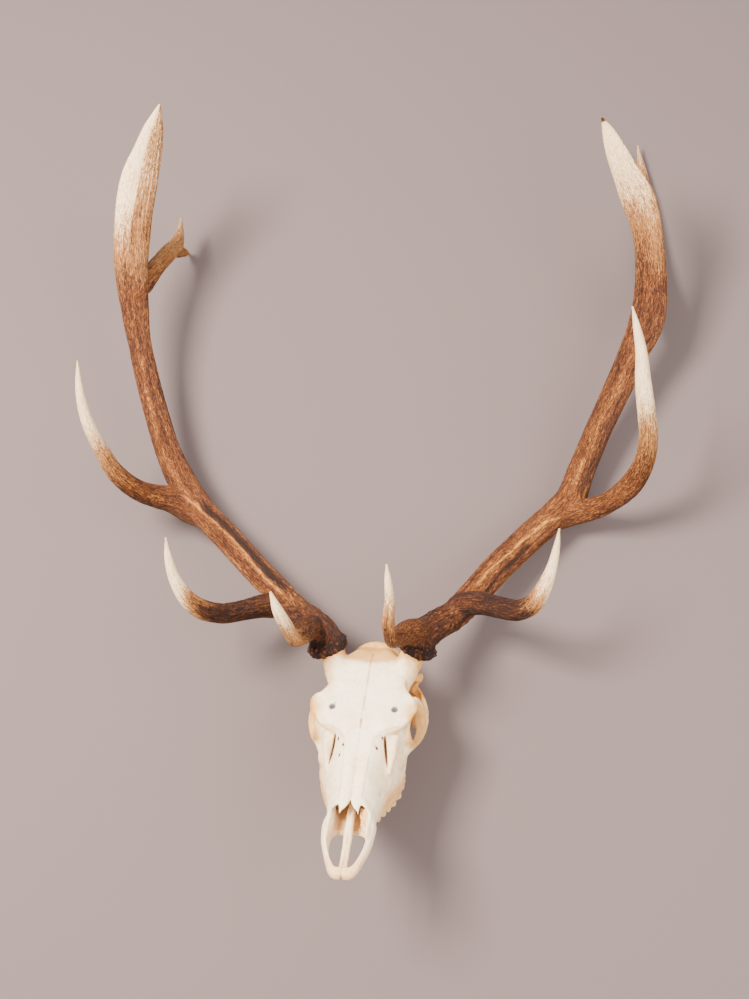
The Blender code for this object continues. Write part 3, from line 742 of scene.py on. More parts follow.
@dataclass(frozen=True)
class AntlerFinish:
    """Streaked brown antler, worn through tan to ivory towards the tips and dark at the burr, with painted
    shade in its furrows, pits and grooves and painted highlights along its flutes and ridges.
    """

    # The darkest colours, reached in furrows, pits and grooves, are painted shade mixed with the bark's own
    # dark streaks
    crevice_shade: Colour = shade(34, 14, 4)
    brown: Colour = shade(70, 32, 10)
    bark: Colour = shade(103, 54, 19)
    ridge: Colour = shade(138, 83, 36)
    # The lightest colour, reached along the ridges, is a painted highlight
    crest: Colour = shade(190, 130, 56)
    burnt_crevice_shade: Colour = shade(20, 7, 3)
    burnt: Colour = shade(42, 17, 6)
    burnt_ridge: Colour = shade(92, 46, 20)
    tan_dark: Colour = shade(118, 66, 28)
    tan: Colour = shade(172, 116, 62)
    ivory_dark: Colour = shade(190, 146, 98)
    ivory: Colour = shade(226, 194, 148)
    ivory_light: Colour = shade(242, 217, 176)
    bark_roughness: float = 0.62
    ivory_roughness: float = 0.42
    gleam: float = 0.25
    grain: float = 0.0022
    ivory_grain: float = 0.30
    thread_grain: float = 0.35
    streaks: Streaks = Streaks(520.0, 0.16, 3.0, 0.5, 0.34, 0.66)
    threads: Streaks = Streaks(950.0, 0.26, 2.0, 0.3, 0.34, 0.66)
    patches: Streaks = Streaks(40.0, 0.30, 3.0, 0.6, 0.30, 0.70)
    # How strongly each of them and the carved relief change the tone; the relief's tone is painted shade in
    # furrows, pits and grooves and painted highlight on flutes and ridges, besides the bark's own tone
    relief_weight: float = 1.0
    streak_weight: float = 0.36
    thread_weight: float = 0.34
    patch_weight: float = 0.12
    # How far the tone moves the edge of the worn parts
    worn_weight: float = 0.30
    # Between which shares of wear the bark turns tan, and the tan turns ivory
    tan_span: tuple[float, float] = (0.10, 0.46)
    ivory_span: tuple[float, float] = (0.40, 0.88)

    def build(self) -> Material:
        """Return the material."""
        graph = Graph("antler_finish")
        streaks = self.streaks.field(graph)
        threads = self.threads.field(graph)
        tone = graph.total(
            0.5,
            graph.about(graph.painted("relief"), self.relief_weight),
            graph.about(streaks, self.streak_weight),
            graph.about(threads, self.thread_weight),
            graph.about(self.patches.field(graph), self.patch_weight),
        )
        bark = graph.colours(
            tone,
            (0.08, self.crevice_shade),
            (0.32, self.brown),
            (0.54, self.bark),
            (0.76, self.ridge),
            (0.98, self.crest),
        )
        burnt = graph.colours(
            tone,
            (0.16, self.burnt_crevice_shade),
            (0.50, self.burnt),
            (0.92, self.burnt_ridge),
        )
        tan = graph.colours(tone, (0.15, self.tan_dark), (0.60, self.tan))
        ivory = graph.colours(
            tone,
            (0.10, self.ivory_dark),
            (0.45, self.ivory),
            (0.80, self.ivory_light),
        )
        worn = graph.math("ADD", graph.painted("ivory"), graph.about(tone, self.worn_weight))
        share = graph.ramp(worn, *self.ivory_span)
        colour = graph.mix(graph.painted("base"), bark, burnt)
        colour = graph.mix(graph.ramp(worn, *self.tan_span), colour, tan)
        colour = graph.mix(share, colour, ivory)
        rough = graph.ramp(share, 0.0, 1.0, self.bark_roughness, self.ivory_roughness)
        height = graph.between(self.thread_grain, streaks, threads)
        height = graph.times(height, graph.ramp(share, 0.0, 1.0, 1.0, self.ivory_grain))
        graph.feed(graph.shader.inputs["Specular IOR Level"], self.gleam)
        return graph.finish(colour, rough, graph.bump(height, self.grain))


@dataclass(frozen=True)
class BoneFinish:
    """Boiled, bleached bone with a warmer tone in its hollows, its seams and along its edges; painted shade
    darkens its hollows, slits, muzzle cleft and small holes and makes part of the warm tone.
    """

    white: Colour = shade(255, 240, 211)
    cream: Colour = shade(245, 217, 160)
    tan: Colour = shade(214, 156, 78)
    seam: Colour = shade(166, 108, 58)
    # Painted shade in the hollows, slits, the muzzle cleft and small holes
    crevice_shade: Colour = shade(92, 44, 18)
    # Grey painted over the two brow holes
    brow_hole_grey: Colour = shade(80, 74, 74)
    roughness: float = 0.50
    gleam: float = 0.40
    grain: float = 0.0007
    # Cells per metre
    cloud_scale: float = 26.0
    blotch_scale: float = 130.0
    grain_scale: float = 900.0
    pore_scale: float = 1300.0
    # How far the grain and the pores are drawn out along the skull
    grain_stretch: Triple = (1.0, 0.22, 1.0)
    pore_stretch: Triple = (1.0, 0.6, 1.0)

    def build(self) -> Material:
        """Return the material."""
        graph = Graph("bone_finish")
        place = graph.painted("place", vector=True)
        clouds = graph.noise(place, self.cloud_scale, 3.0, 0.5)
        blotches = graph.noise(place, self.blotch_scale, 3.0, 0.4)
        grain = graph.noise(graph.scaled(place, self.grain_stretch), self.grain_scale, 3.0)
        specks = graph.noise(graph.scaled(place, self.pore_stretch), self.pore_scale, 2.0)
        pores = graph.ramp(specks, 0.56, 0.70)
        tone = graph.total(
            0.5,
            graph.about(clouds, 1.6),
            graph.about(blotches, 0.9),
            graph.about(grain, 0.5),
        )
        # The warm tone is partly painted shade on the crown, the face, the waist and in the hollows
        warm_and_shade = graph.total(
            graph.painted("warm_and_shade"),
            graph.about(clouds, 0.45),
            graph.about(blotches, 0.40),
        )
        colour = graph.mix(graph.times(tone, 0.60), self.white, self.cream)
        colour = graph.mix(warm_and_shade, colour, self.tan)
        colour = graph.mix(graph.times(pores, 0.35), colour, self.seam)
        colour = graph.mix(graph.painted("seam"), colour, self.seam)
        # Painted shade: the hollows, slits, cleft and small holes darken to the crevice colour
        colour = graph.mix(graph.ramp(graph.painted("hollow"), 0.30, 1.0), colour, self.crevice_shade)
        colour = graph.mix(graph.painted("brow_hole_grey"), colour, self.brow_hole_grey)
        height = graph.math("SUBTRACT", graph.times(grain, 0.6), graph.times(pores, 0.4))
        graph.feed(graph.shader.inputs["Specular IOR Level"], self.gleam)
        return graph.finish(colour, self.roughness, graph.bump(height, self.grain))


@dataclass(frozen=True)
class EnamelFinish:
    """Worn cheek teeth: cream enamel, brown between the folds."""

    enamel: Colour = shade(216, 182, 130)
    stain: Colour = shade(100, 58, 28)
    roughness: float = 0.32
    grain: float = 0.0004
    # Cells per metre
    mark_scale: float = 260.0
    line_scale: float = 1400.0
    line_stretch: Triple = (1.0, 1.0, 0.2)

    def build(self) -> Material:
        """Return the material."""
        graph = Graph("tooth_finish")
        place = graph.painted("place", vector=True)
        marks = graph.noise(place, self.mark_scale, 3.0)
        share = graph.total(graph.painted("hollow"), graph.about(marks, 0.8))
        colour = graph.mix(graph.ramp(share, 0.15, 0.85), self.enamel, self.stain)
        lines = graph.noise(graph.scaled(place, self.line_stretch), self.line_scale, 2.0)
        return graph.finish(colour, self.roughness, graph.bump(lines, self.grain))


@dataclass(frozen=True)
class FloorFinish:
    """A plain pale floor."""

    colour: Colour = shade(100, 86, 84)
    roughness: float = 0.9

    def build(self) -> Material:
        """Return the material."""
        graph = Graph("floor_finish")
        graph.feed(graph.shader.inputs["Base Color"], (*self.colour, 1.0))
        graph.feed(graph.shader.inputs["Roughness"], self.roughness)
        return graph.material


class Route:
    """A smooth curve with a width and a depth at each point."""

    def __init__(self, knots: Table | np.ndarray, across: Triple) -> None:
        """Measure the curve.

        Args:
            knots: Rows of x, y, z, width and depth.
            across: The direction of the width where the curve starts.
        """
        self.knots = np.array(knots, dtype=float)
        self.across = np.array(across, dtype=float)
        chords = np.linalg.norm(np.diff(self.knots[:, :3], axis=0), axis=1)
        self.marks = np.concatenate(([0.0], np.cumsum(chords)))
        self.slopes = np.gradient(self.knots, self.marks, axis=0)

    @property
    def length(self) -> float:
        """The distance from the first knot to the last."""
        return float(self.marks[-1])

    def rows(self, distances: np.ndarray) -> np.ndarray:
        """Return x, y, z, width and depth at distances along the curve."""
        spans = np.clip(np.searchsorted(self.marks, distances, side="right") - 1, 0, len(self.marks) - 2)
        lengths = (self.marks[spans + 1] - self.marks[spans])[:, None]
        share = (distances - self.marks[spans])[:, None] / lengths
        return (
            (2 * share ** 3 - 3 * share ** 2 + 1) * self.knots[spans]
            + (3 * share ** 2 - 2 * share ** 3) * self.knots[spans + 1]
            + (share ** 3 - 2 * share ** 2 + share) * lengths * self.slopes[spans]
            + (share ** 3 - share ** 2) * lengths * self.slopes[spans + 1]
        )

    def axes(self, points: np.ndarray) -> tuple[np.ndarray, np.ndarray, np.ndarray]:
        """Return the directions along, across and through the curve at points on it."""
        along = np.gradient(points, axis=0)
        along /= np.linalg.norm(along, axis=1)[:, None]
        wide = np.empty_like(along)
        current = self.across
        for index, direction in enumerate(along):
            current = current - direction * current.dot(direction)
            current = current / np.linalg.norm(current)
            wide[index] = current
        return along, wide, np.cross(along, wide)

    def tube(self, step: float, sides: int, smallest: float, root: float = 0.0, burr: bool = False) -> Shell:
        """Return a round limb that follows the curve.

        Args:
            step: The distance between rings.
            sides: The points on each ring.
            smallest: The least width at a tip.
            root: The length over which the limb swells to its width where it starts.
            burr: Whether the first rings are oblique, as at a burr.

        Returns:
            The limb's shell.
        """
        distances = np.linspace(0.0, self.length, max(3, int(self.length / step)))
        rows = self.rows(distances)
        along, wide, deep = self.axes(rows[:, :3])
        if burr:
            for index in np.flatnonzero(distances < BURR_TILT_REACH):
                turn = burr_turn(along[index], distances[index])
                wide[index] = turn @ wide[index]
                deep[index] = turn @ deep[index]
        angles = np.linspace(0.0, 2.0 * math.pi, sides, endpoint=False)
        swell = 0.55 + 0.45 * ease(distances, 0.0, root) if root > 0.0 else np.ones(len(distances))
        half_width = (np.maximum(rows[:, 3], smallest) * swell)[:, None, None] / 2.0
        half_depth = (np.maximum(rows[:, 4], smallest) * swell)[:, None, None] / 2.0
        rings = (
            rows[:, None, :3]
            + wide[:, None, :] * np.cos(angles)[None, :, None] * half_width
            + deep[:, None, :] * np.sin(angles)[None, :, None] * half_depth
        )
        return Shell.of_rings(rings).facing_out()


# The direction of a limb's width where it starts, in the head frame
SIDEWAYS = (1.0, 0.0, 0.0)
UPRIGHT = (0.0, 0.0, 1.0)


@dataclass(frozen=True)
class Limb:
    """A stem or a tine of an antler, through knots of x, y, z, width and depth in millimetres."""

    name: str
    knots: Table
    across: Triple
    # Metres back from the tip between which ivory turns to bark; below 0, even the tip stays tan
    ivory_to: float
    bark_from: float
    # The length of a tip that is dark again, in metres
    dark_tip: float = 0.0
    # How dark the bark is, from 0 to 1
    dark: float = 0.0


class Antlers(Enum):
    """The limbs of each antler, stem first."""

    LEFT = (
        Limb(
            "stem",
            (
                (69, 95, -29, 55, 54),
                (78, 111, -6, 54, 52),
                (103, 137, 8, 53, 50),
                (138, 170, 22, 52, 50),
                (173, 205, 50, 52, 48),
                (210, 235, 85, 53, 47),
                (270, 275, 135, 54, 46),
                (320, 300, 175, 56, 46),
                (355, 320, 205, 57, 46),
                (380, 340, 260, 52, 45),
                (415, 365, 335, 51, 43),
                (450, 385, 405, 53, 42),
                (480, 400, 470, 55, 42),
                (508, 415, 530, 66, 43),
                (516, 420, 585, 62, 42),
                (515, 420, 635, 58, 40),
                (511, 420, 680, 56, 38),
                (502, 415, 722, 60, 36),
                (486, 410, 762, 64, 33),
                (462, 405, 808, 50, 28),
                (441, 400, 850, 37, 22),
                (426, 395, 882, 20, 14),
                (415, 390, 902, 3, 3),
            ),
            SIDEWAYS,
            ivory_to=0.03,
            bark_from=0.31,
            dark_tip=0.010,
        ),
        Limb(
            "brow_tine",
            (
                (99, 136, 3, 30, 30),
                (76, 108, 4, 47, 45),
                (56, 76, 9, 45, 42),
                (39, 40, 7, 32, 31),
                (27, 3, 12, 23, 25),
                (22, -12, 42, 21, 22),
                (24, -20, 80, 16, 17),
                (21, -28, 115, 11, 12),
                (19, -33, 140, 3, 3),
            ),
            SIDEWAYS,
            ivory_to=0.0,
            bark_from=0.13,
            dark=0.45,
        ),
        Limb(
            "bez_tine",
            (
                (125, 175, 22, 50, 46),
                (150, 160, 40, 44, 42),
                (180, 138, 48, 41, 38),
                (210, 112, 45, 37, 35),
                (243, 85, 45, 35, 33),
                (264, 67, 60, 32, 30),
                (277, 56, 85, 27, 26),
                (289, 46, 120, 18, 18),
                (296, 40, 155, 12, 12),
                (300, 35, 188, 3, 3),
            ),
            UPRIGHT,
            ivory_to=0.07,
            bark_from=0.15,
            dark=0.95,
        ),
        Limb(
            "trez_tine",
            (
                (306, 294, 163, 38, 35),
                (340, 305, 178, 47, 42),
                (381, 297, 189, 43, 39),
                (415, 270, 205, 39, 36),
                (453, 240, 242, 41, 37),
                (470, 212, 285, 37, 34),
                (472, 190, 330, 34, 32),
                (465, 175, 370, 33, 30),
                (455, 160, 425, 28, 25),
                (449, 150, 475, 20, 20),
                (440, 145, 515, 13, 13),
                (431, 140, 550, 3, 3),
            ),
            UPRIGHT,
            ivory_to=0.14,
            bark_from=0.29,
            dark=0.10,
        ),
        Limb(
            "end_branch",
            (
                (512, 420, 510, 36, 36),
                (524, 462, 545, 44, 42),
                (540, 515, 600, 38, 38),
                (552, 590, 685, 34, 34),
                (554, 655, 780, 28, 28),
                (548, 695, 848, 18, 18),
                (542, 716, 903, 3, 3),
            ),
            SIDEWAYS,
            ivory_to=-0.26,
            bark_from=0.28,
        ),
    )
    RIGHT = (
        Limb(
            "stem",
            (
                (-77, 113, -30, 56, 55),
                (-86, 131, -6, 54, 52),
                (-108, 153, 11, 51, 49),
                (-132, 175, 24, 50, 48),
                (-173, 205, 60, 49, 46),
                (-213, 235, 95, 49, 45),
                (-265, 270, 145, 50, 44),
                (-316, 300, 193, 52, 44),
                (-352, 330, 240, 54, 44),
                (-377, 350, 287, 49, 43),
                (-402, 375, 355, 47, 41),
                (-423, 395, 425, 45, 39),
                (-441, 410, 500, 44, 38),
                (-452, 425, 585, 58, 40),
                (-456, 430, 640, 64, 41),
                (-454, 430, 685, 68, 40),
                (-449, 425, 730, 70, 38),
                (-432, 415, 805, 67, 34),
                (-420, 410, 838, 56, 30),
                (-405, 400, 885, 36, 22),
                (-392, 390, 926, 4, 4),
            ),
            SIDEWAYS,
            ivory_to=0.18,
            bark_from=0.33,
        ),
        Limb(
            "brow_tine",
            (
                (-105, 150, 2, 34, 34),
                (-110, 122, 9, 44, 42),
                (-115, 88, 11, 44, 42),
                (-123, 56, 6, 31, 31),
                (-131, 28, 8, 24, 26),
                (-142, 0, 34, 22, 23),
                (-155, -20, 65, 17, 18),
                (-165, -30, 95, 4, 4),
            ),
            SIDEWAYS,
            ivory_to=0.0,
            bark_from=0.14,
            dark=0.8,
        ),
        Limb(
            "bez_tine",
            (
                (-150, 195, 30, 48, 44),
                (-187, 175, 37, 42, 40),
                (-222, 145, 35, 36, 35),
                (-260, 110, 35, 34, 32),
                (-290, 82, 48, 33, 30),
                (-310, 66, 68, 28, 26),
                (-326, 55, 97, 21, 20),
                (-336, 45, 135, 14, 14),
                (-340, 40, 173, 3, 3),
            ),
            UPRIGHT,
            ivory_to=0.07,
            bark_from=0.15,
            dark=0.75,
        ),
        Limb(
            "trez_tine",
            (
                (-290, 285, 168, 36, 34),
                (-335, 302, 190, 49, 41),
                (-366, 303, 208, 49, 42),
                (-397, 288, 217, 43, 38),
                (-420, 268, 228, 38, 35),
                (-450, 240, 256, 34, 32),
                (-476, 212, 305, 27, 26),
                (-495, 185, 360, 21, 20),
                (-502, 170, 405, 15, 15),
                (-503, 160, 460, 3, 3),
            ),
            UPRIGHT,
            ivory_to=0.10,
            bark_from=0.23,
            dark=0.12,
        ),
        Limb(
            "end_branch",
            (
                (-448, 425, 585, 50, 46),
                (-434, 455, 610, 40, 40),
                (-416, 495, 643, 34, 36),
                (-401, 540, 670, 33, 35),
                (-390, 575, 690, 28, 32),
                (-386, 592, 715, 15, 18),
                (-385, 602, 745, 3, 3),
            ),
            SIDEWAYS,
            ivory_to=-0.36,
            bark_from=0.28,
        ),
        Limb(
            "end_prong",
            (
                (-396, 555, 672, 26, 30),
                (-386, 595, 676, 22, 24),
                (-380, 625, 676, 14, 15),
                (-376, 652, 676, 3, 3),
            ),
            SIDEWAYS,
            ivory_to=-0.45,
            bark_from=0.24,
        ),
    )


@dataclass(frozen=True)
class Ridge:
    """A ridge or a groove along a stem: places from the burr in metres, angles from the front in degrees."""

    knots: Pairs
    width: float
    height: float
    # How far it lightens or darkens the bark: a painted highlight along a ridge, painted shade in a groove
    tone: float
    wander: float = 2.5
    wander_cell: float = 0.022
    fade: float = 0.02

    def strength(self, place: np.ndarray, angle: np.ndarray, radius: np.ndarray) -> np.ndarray:
        """Return how near points of a stem lie to the ridge's middle line.

        Args:
            place: Each point's distance along the stem.
            angle: Its angle round the stem.
            radius: The stem's radius there.

        Returns:
            One number from 0 to 1 per point.
        """
        places, angles = np.array(self.knots).T
        middle = np.interp(place, places, angles) + self.wander * along_line(place, self.wander_cell, 61)
        gap = np.radians(half_circle(angle - middle)) * radius
        starts = ease(place, places[0] - self.fade, places[0] + self.fade)
        ends = 1.0 - ease(place, places[-1] - self.fade, places[-1] + self.fade)
        return np.exp(-((gap / self.width) ** 2)) * starts * ends


class StemRidges(Enum):
    """The bold ridges and grooves that each stem shows from the front, with painted highlights along the
    ridges and painted shade in the grooves.
    """

    LEFT = (
        Ridge(
            ((0.182, -29), (0.208, -31), (0.240, -27), (0.279, -21))
            + ((0.317, -18), (0.371, -10), (0.402, 16)),
            width=0.0028,
            height=0.0018,
            tone=0.42,
        ),
        Ridge(
            ((0.10, 30), (0.16, 24), (0.24, 14), (0.31, 16)),
            width=0.0045,
            height=-0.0016,
            tone=-0.45,
        ),
        Ridge(
            ((0.44, -20), (0.52, -14), (0.62, -12), (0.74, -8)),
            width=0.005,
            height=0.0010,
            tone=0.14,
        ),
        Ridge(
            ((0.46, 26), (0.56, 29), (0.68, 26), (0.80, 29)),
            width=0.004,
            height=-0.0010,
            tone=-0.16,
        ),
    )
    RIGHT = (
        Ridge(
            ((0.130, 18), (0.185, 10), (0.230, 21), (0.263, 23), (0.298, 23))
            + ((0.338, 17), (0.377, 8), (0.405, -17), (0.432, -60)),
            width=0.0030,
            height=0.0020,
            tone=0.48,
        ),
        Ridge(
            ((0.150, 48), (0.185, 43), (0.226, 50), (0.289, 48), (0.340, 42), (0.380, 36)),
            width=0.0085,
            height=-0.0022,
            tone=-0.62,
        ),
        Ridge(
            ((0.46, -14), (0.56, -16), (0.66, -12), (0.76, -15)),
            width=0.005,
            height=0.0010,
            tone=0.14,
        ),
        Ridge(
            ((0.44, 20), (0.54, 17), (0.66, 22), (0.80, 19)),
            width=0.004,
            height=-0.0010,
            tone=-0.16,
        ),
        Ridge(
            ((0.913, 8), (0.998, 13), (1.039, 14), (1.090, 1), (1.131, 0), (1.162, 20)),
            width=0.003,
            height=-0.0008,
            tone=-0.3,
        ),
    )


@dataclass(frozen=True)
class SideStain:
    """A worn tip's tan side, beyond a line: places from the burr in metres, angles in degrees."""

    line: Pairs
    share: float
    sharpness: float = 7.0
    reach: float = 150.0
    reach_fade: float = 25.0
    groove_turn: float = 17.0
    groove_share: float = 0.42
    wander: float = 4.0
    wander_cell: float = 0.03
    fade: float = 0.03

    def strength(self, place: np.ndarray, angle: np.ndarray) -> np.ndarray:
        """Return how far the ivory is hidden at points of a stem.

        Args:
            place: Each point's distance along the stem.
            angle: Its angle round the stem.

        Returns:
            One number per point, about the stain's share where it covers the ivory.
        """
        places, angles = np.array(self.line).T
        wave = along_line(place, self.wander_cell, 67)
        turn = half_circle(angle - np.interp(place, places, angles) - self.wander * wave)
        side = ease(turn, -self.sharpness, self.sharpness)
        side = side * (1.0 - ease(turn, self.reach, self.reach + self.reach_fade))
        grooves = np.cos(math.tau * turn / self.groove_turn + 1.5 * wave)
        side = side * (1.0 + self.groove_share * grooves)
        return self.share * side * ease(place, places[0] - self.fade, places[0] + self.fade)


class DaggerStain(Enum):
    """The side of each dagger that stays tan."""

    LEFT = SideStain(
        ((0.80, 70), (0.92, 64), (1.00, 66), (1.10, 60)),
        share=0.45,
        sharpness=16.0,
        reach=110.0,
    )
    RIGHT = SideStain(
        ((0.913, 8), (0.958, 12), (0.998, 13), (1.039, 14), (1.090, 1), (1.131, 0), (1.162, 20)),
        share=0.48,
    )


@dataclass(frozen=True)
class AntlerRelief:
    """Sizes of an antler's surface relief, in metres."""

    voxel: float = 0.0018
    tube_step: float = 0.006
    tube_sides: int = 28
    tip_width: float = 0.004
    root_length: float = 0.032
    flute_cell: Triple = (0.017, 0.017, 0.26)
    flute_height: float = 0.0012
    furrow_cell: Triple = (0.0062, 0.0062, 0.085)
    furrow_height: float = 0.0008
    pit_cell: Triple = (0.0046, 0.0046, 0.020)
    pit_height: float = 0.0006
    smooth_reach: tuple[float, float] = (0.05, 0.20)
    pearl_size: float = 0.0075
    pearl_height: float = 0.0017
    pearl_reach: float = 0.24
    burr_height: float = 0.022
    burr_swell: float = 0.0066
    bead_size: float = 0.0072
    bead_height: float = 0.0040
    dark_from: float = 0.05
    dark_to: float = 0.17
    # The wear runs a little short of or past the distances that each limb gives
    ivory_share: float = 0.75
    bark_share: float = 1.15
    ivory_cell: Triple = (0.013, 0.013, 0.16)
    ivory_wander: float = 0.030
    # How much of the relief is left on ivory, near the burr and at the very tips
    ivory_relief: float = 0.22
    low_relief: float = 0.45
    tip_relief: float = 0.15
    tip_reach: float = 0.05
    # How the fibres wander from straight
    wander_cell: Triple = (0.03, 0.03, 0.05)
    wander: Triple = (0.6, -0.5, 0.0)
    # Where the pits are common
    pitted_cell: Triple = (0.02, 0.02, 0.07)
    fork_reach: tuple[float, float] = (1.25, 2.1)
    fork_passes: int = 42
    fork_rounds: int = 2
    meeting: float = 0.45


@dataclass
class Nearness:
    """Where points lie along and round one limb."""

    gap: np.ndarray
    place: np.ndarray
    fibre: np.ndarray
    angle: np.ndarray
    radius: np.ndarray


class Antler:
    """One antler: its burr, beam, dagger, tines and end branch as one grooved form."""

    NODES = ("beam", "dagger_tine", "brow_tine", "bez_tine", "trez_tine", "end_branch")
    STATION_STEP = 0.004
    BLOCK = 20000

    def __init__(self, side: Side, relief: AntlerRelief) -> None:
        """Set the antler out.

        Args:
            side: The side of the animal.
            relief: The sizes of the surface relief.
        """
        self.side = side
        self.limbs = Antlers[side.name].value
        self.ridges = StemRidges[side.name].value
        self.stain = DaggerStain[side.name].value
        self.relief = relief
        self.routes = [Route(np.array(limb.knots) / MM_PER_METRE, limb.across) for limb in self.limbs]

    def build(self, material: Material, dresser: Dresser) -> Object:
        """Make the antler and put it in the scene.

        Args:
            material: The antler's finish.
            dresser: Puts the piece in the scene.

        Returns:
            The new object.
        """
        name = "antler_%s" % self.side.word
        relief = self.relief
        stem, *tines = self.routes
        tubes = [stem.tube(relief.tube_step, relief.tube_sides, relief.tip_width, burr=True)]
        for tine in tines:
            tube = tine.tube(relief.tube_step, relief.tube_sides, relief.tip_width, relief.root_length)
            tubes.append(tube)
        sculpt = Sculpt(Forge(name).fused(Shell.joined(tubes).to_mesh(name), relief.voxel))
        self._soften_forks(sculpt)
        self._carve(sculpt)
        place = np.array(head_matrix())
        sculpt.points = sculpt.points @ place[:3, :3].T + place[:3, 3]
        nodes = ["antler_%s_%s" % (self.side.word, node) for node in self.NODES]
        return dresser.add(name, sculpt, material, nodes, "antler_bark")

    def _nearness(self, points: np.ndarray) -> list[Nearness]:
        """Return, for each limb, where each point of the head frame lies along and round it."""
        return [self._near_limb(route, points) for route in self.routes]

    def named(self, name: str) -> tuple[Limb, Route]:
        """Return a limb and its middle line by the limb's name."""
        index = [limb.name for limb in self.limbs].index(name)
        return self.limbs[index], self.routes[index]

    def _near_limb(self, route: Route, points: np.ndarray) -> Nearness:
        """Return where each point lies along and round one limb.

        Args:
            route: The limb's middle line.
            points: Points in the head frame.

        Returns:
            The distances, angles and directions of fibre.
        """
        marks = np.linspace(0.0, route.length, int(route.length / self.STATION_STEP))
        rows = route.rows(marks)
        middles = rows[:, :3]
        along, wide, deep = route.axes(middles)
        nearest = np.empty(len(points), dtype=np.int64)
        lengths = (middles ** 2).sum(axis=1)
        for start in range(0, len(points), self.BLOCK):
            block = points[start:start + self.BLOCK]
            nearest[start:start + self.BLOCK] = (lengths - 2.0 * block @ middles.T).argmin(axis=1)
        offset = points - middles[nearest]
        lead = np.einsum("ij,ij->i", offset, along[nearest])
        x = np.einsum("ij,ij->i", offset, wide[nearest])
        y = np.einsum("ij,ij->i", offset, deep[nearest])
        radius = np.maximum(rows[nearest, 3] + rows[nearest, 4], 0.008) / 4.0
        length = np.hypot(x, y)
        place = marks[nearest] + lead
        spread = np.maximum(radius, 0.010) / np.maximum(length, 1e-6)
        front = np.array(FACE_FRONT) + along * along[:, 1:2]
        front /= np.linalg.norm(front, axis=1)[:, None]
        aside = np.cross(along, front)
        angle = np.degrees(
            np.arctan2(
                np.einsum("ij,ij->i", offset, aside[nearest]),
                np.einsum("ij,ij->i", offset, front[nearest]),
            )
        )
        return Nearness(
            gap=np.hypot(length, np.maximum(-place, 0.0)) / radius,
            place=place,
            fibre=np.stack([x * spread, y * spread, place], axis=1),
            angle=angle,
            radius=radius,
        )

    def _soften_forks(self, sculpt: Sculpt) -> None:
        """Fill the crease where one limb leaves another, so that it is rounded."""
        relief = self.relief
        for _ in range(relief.fork_rounds):
            second = np.sort(np.stack([near.gap for near in self._nearness(sculpt.points)]), axis=0)[1]
            close = sculpt.spread(1.0 - ease(second, *relief.fork_reach), 6)
            sculpt.fill_creases(relief.fork_passes, close)
            sculpt.relax(4, close)
        sculpt.relax(2, 0.6)

    def _carve(self, sculpt: Sculpt) -> None:
        """Raise the ridges, pearls and burr, and paint what the finish needs."""
        relief = self.relief
        stem, *tines = self._nearness(sculpt.points)
        pick = np.arange(len(sculpt.points))
        owner = np.stack([near.gap for near in tines]).argmin(axis=0)
        tine_gap = np.stack([near.gap for near in tines])[owner, pick]
        tine_fibre = np.stack([near.fibre for near in tines])[owner, pick]
        tine_fibre = tine_fibre + (owner[:, None] + 1.0) * np.array([0.0, 0.0, 3.0])
        mixing = ease(stem.gap - tine_gap, -relief.meeting, relief.meeting)
        mixing = sculpt.spread(mixing, 4)

        limbs = zip(self.limbs, self.routes, [stem] + tines)
        worn = [self._worn(limb, route, near) for limb, route, near in limbs]
        stem_worn = worn[0] * (1.0 - self.stain.strength(stem.place, stem.angle))
        tine_worn = np.stack(worn[1:])[owner, pick]
        ivory = sculpt.spread((1.0 - mixing) * stem_worn + mixing * tine_worn, 3)
        bark = 1.0 - np.clip(ivory, 0.0, 1.0)

        stem_height, stem_tone = self._bark(stem.fibre)
        tine_height, tine_tone = self._bark(tine_fibre)
        height = (1.0 - mixing) * stem_height + mixing * tine_height
        tone = (1.0 - mixing) * stem_tone + mixing * tine_tone
        rough = ease(stem.place, *relief.smooth_reach)
        height = height * (relief.ivory_relief + (1.0 - relief.ivory_relief) * bark)
        height = height * (relief.low_relief + (1.0 - relief.low_relief) * rough)
        tone = tone * (0.45 + 0.55 * bark)
        # The ridges paint highlights and the grooves paint shade into the tone
        for ridge in self.ridges:
            strength = ridge.strength(stem.place, stem.angle, stem.radius) * (1.0 - mixing)
            height += ridge.height * strength
            tone += ridge.tone * strength
        pearls = self._pearls(stem, mixing) * bark
        height += relief.pearl_height * pearls
        tone += 0.35 * pearls
        near_tip = self._near_tip([stem] + tines, owner, mixing)
        height *= 1.0 - (1.0 - relief.tip_relief) * near_tip
        ring, beads = self._burr(sculpt.points, stem, mixing)
        height *= 1.0 - np.clip(ring * 2.0, 0.0, 1.0)
        sculpt.push(height + relief.burr_swell * ring + relief.bead_height * beads)
        tone = np.where(ring > 0.25, 0.75 * beads - 0.05, tone)

        sculpt.paint("fibre", stem.fibre)
        sculpt.paint("fibre_tine", tine_fibre)
        sculpt.paint("mixing", mixing)
        sculpt.paint("ivory", ivory)
        sculpt.paint("base", self._darkness(stem, owner, mixing, bark))
        # The relief tone holds painted shade and painted highlights from the furrows, pits, flutes, ridges
        # and grooves
        sculpt.paint("relief", np.clip(0.5 + tone, 0.0, 1.0))

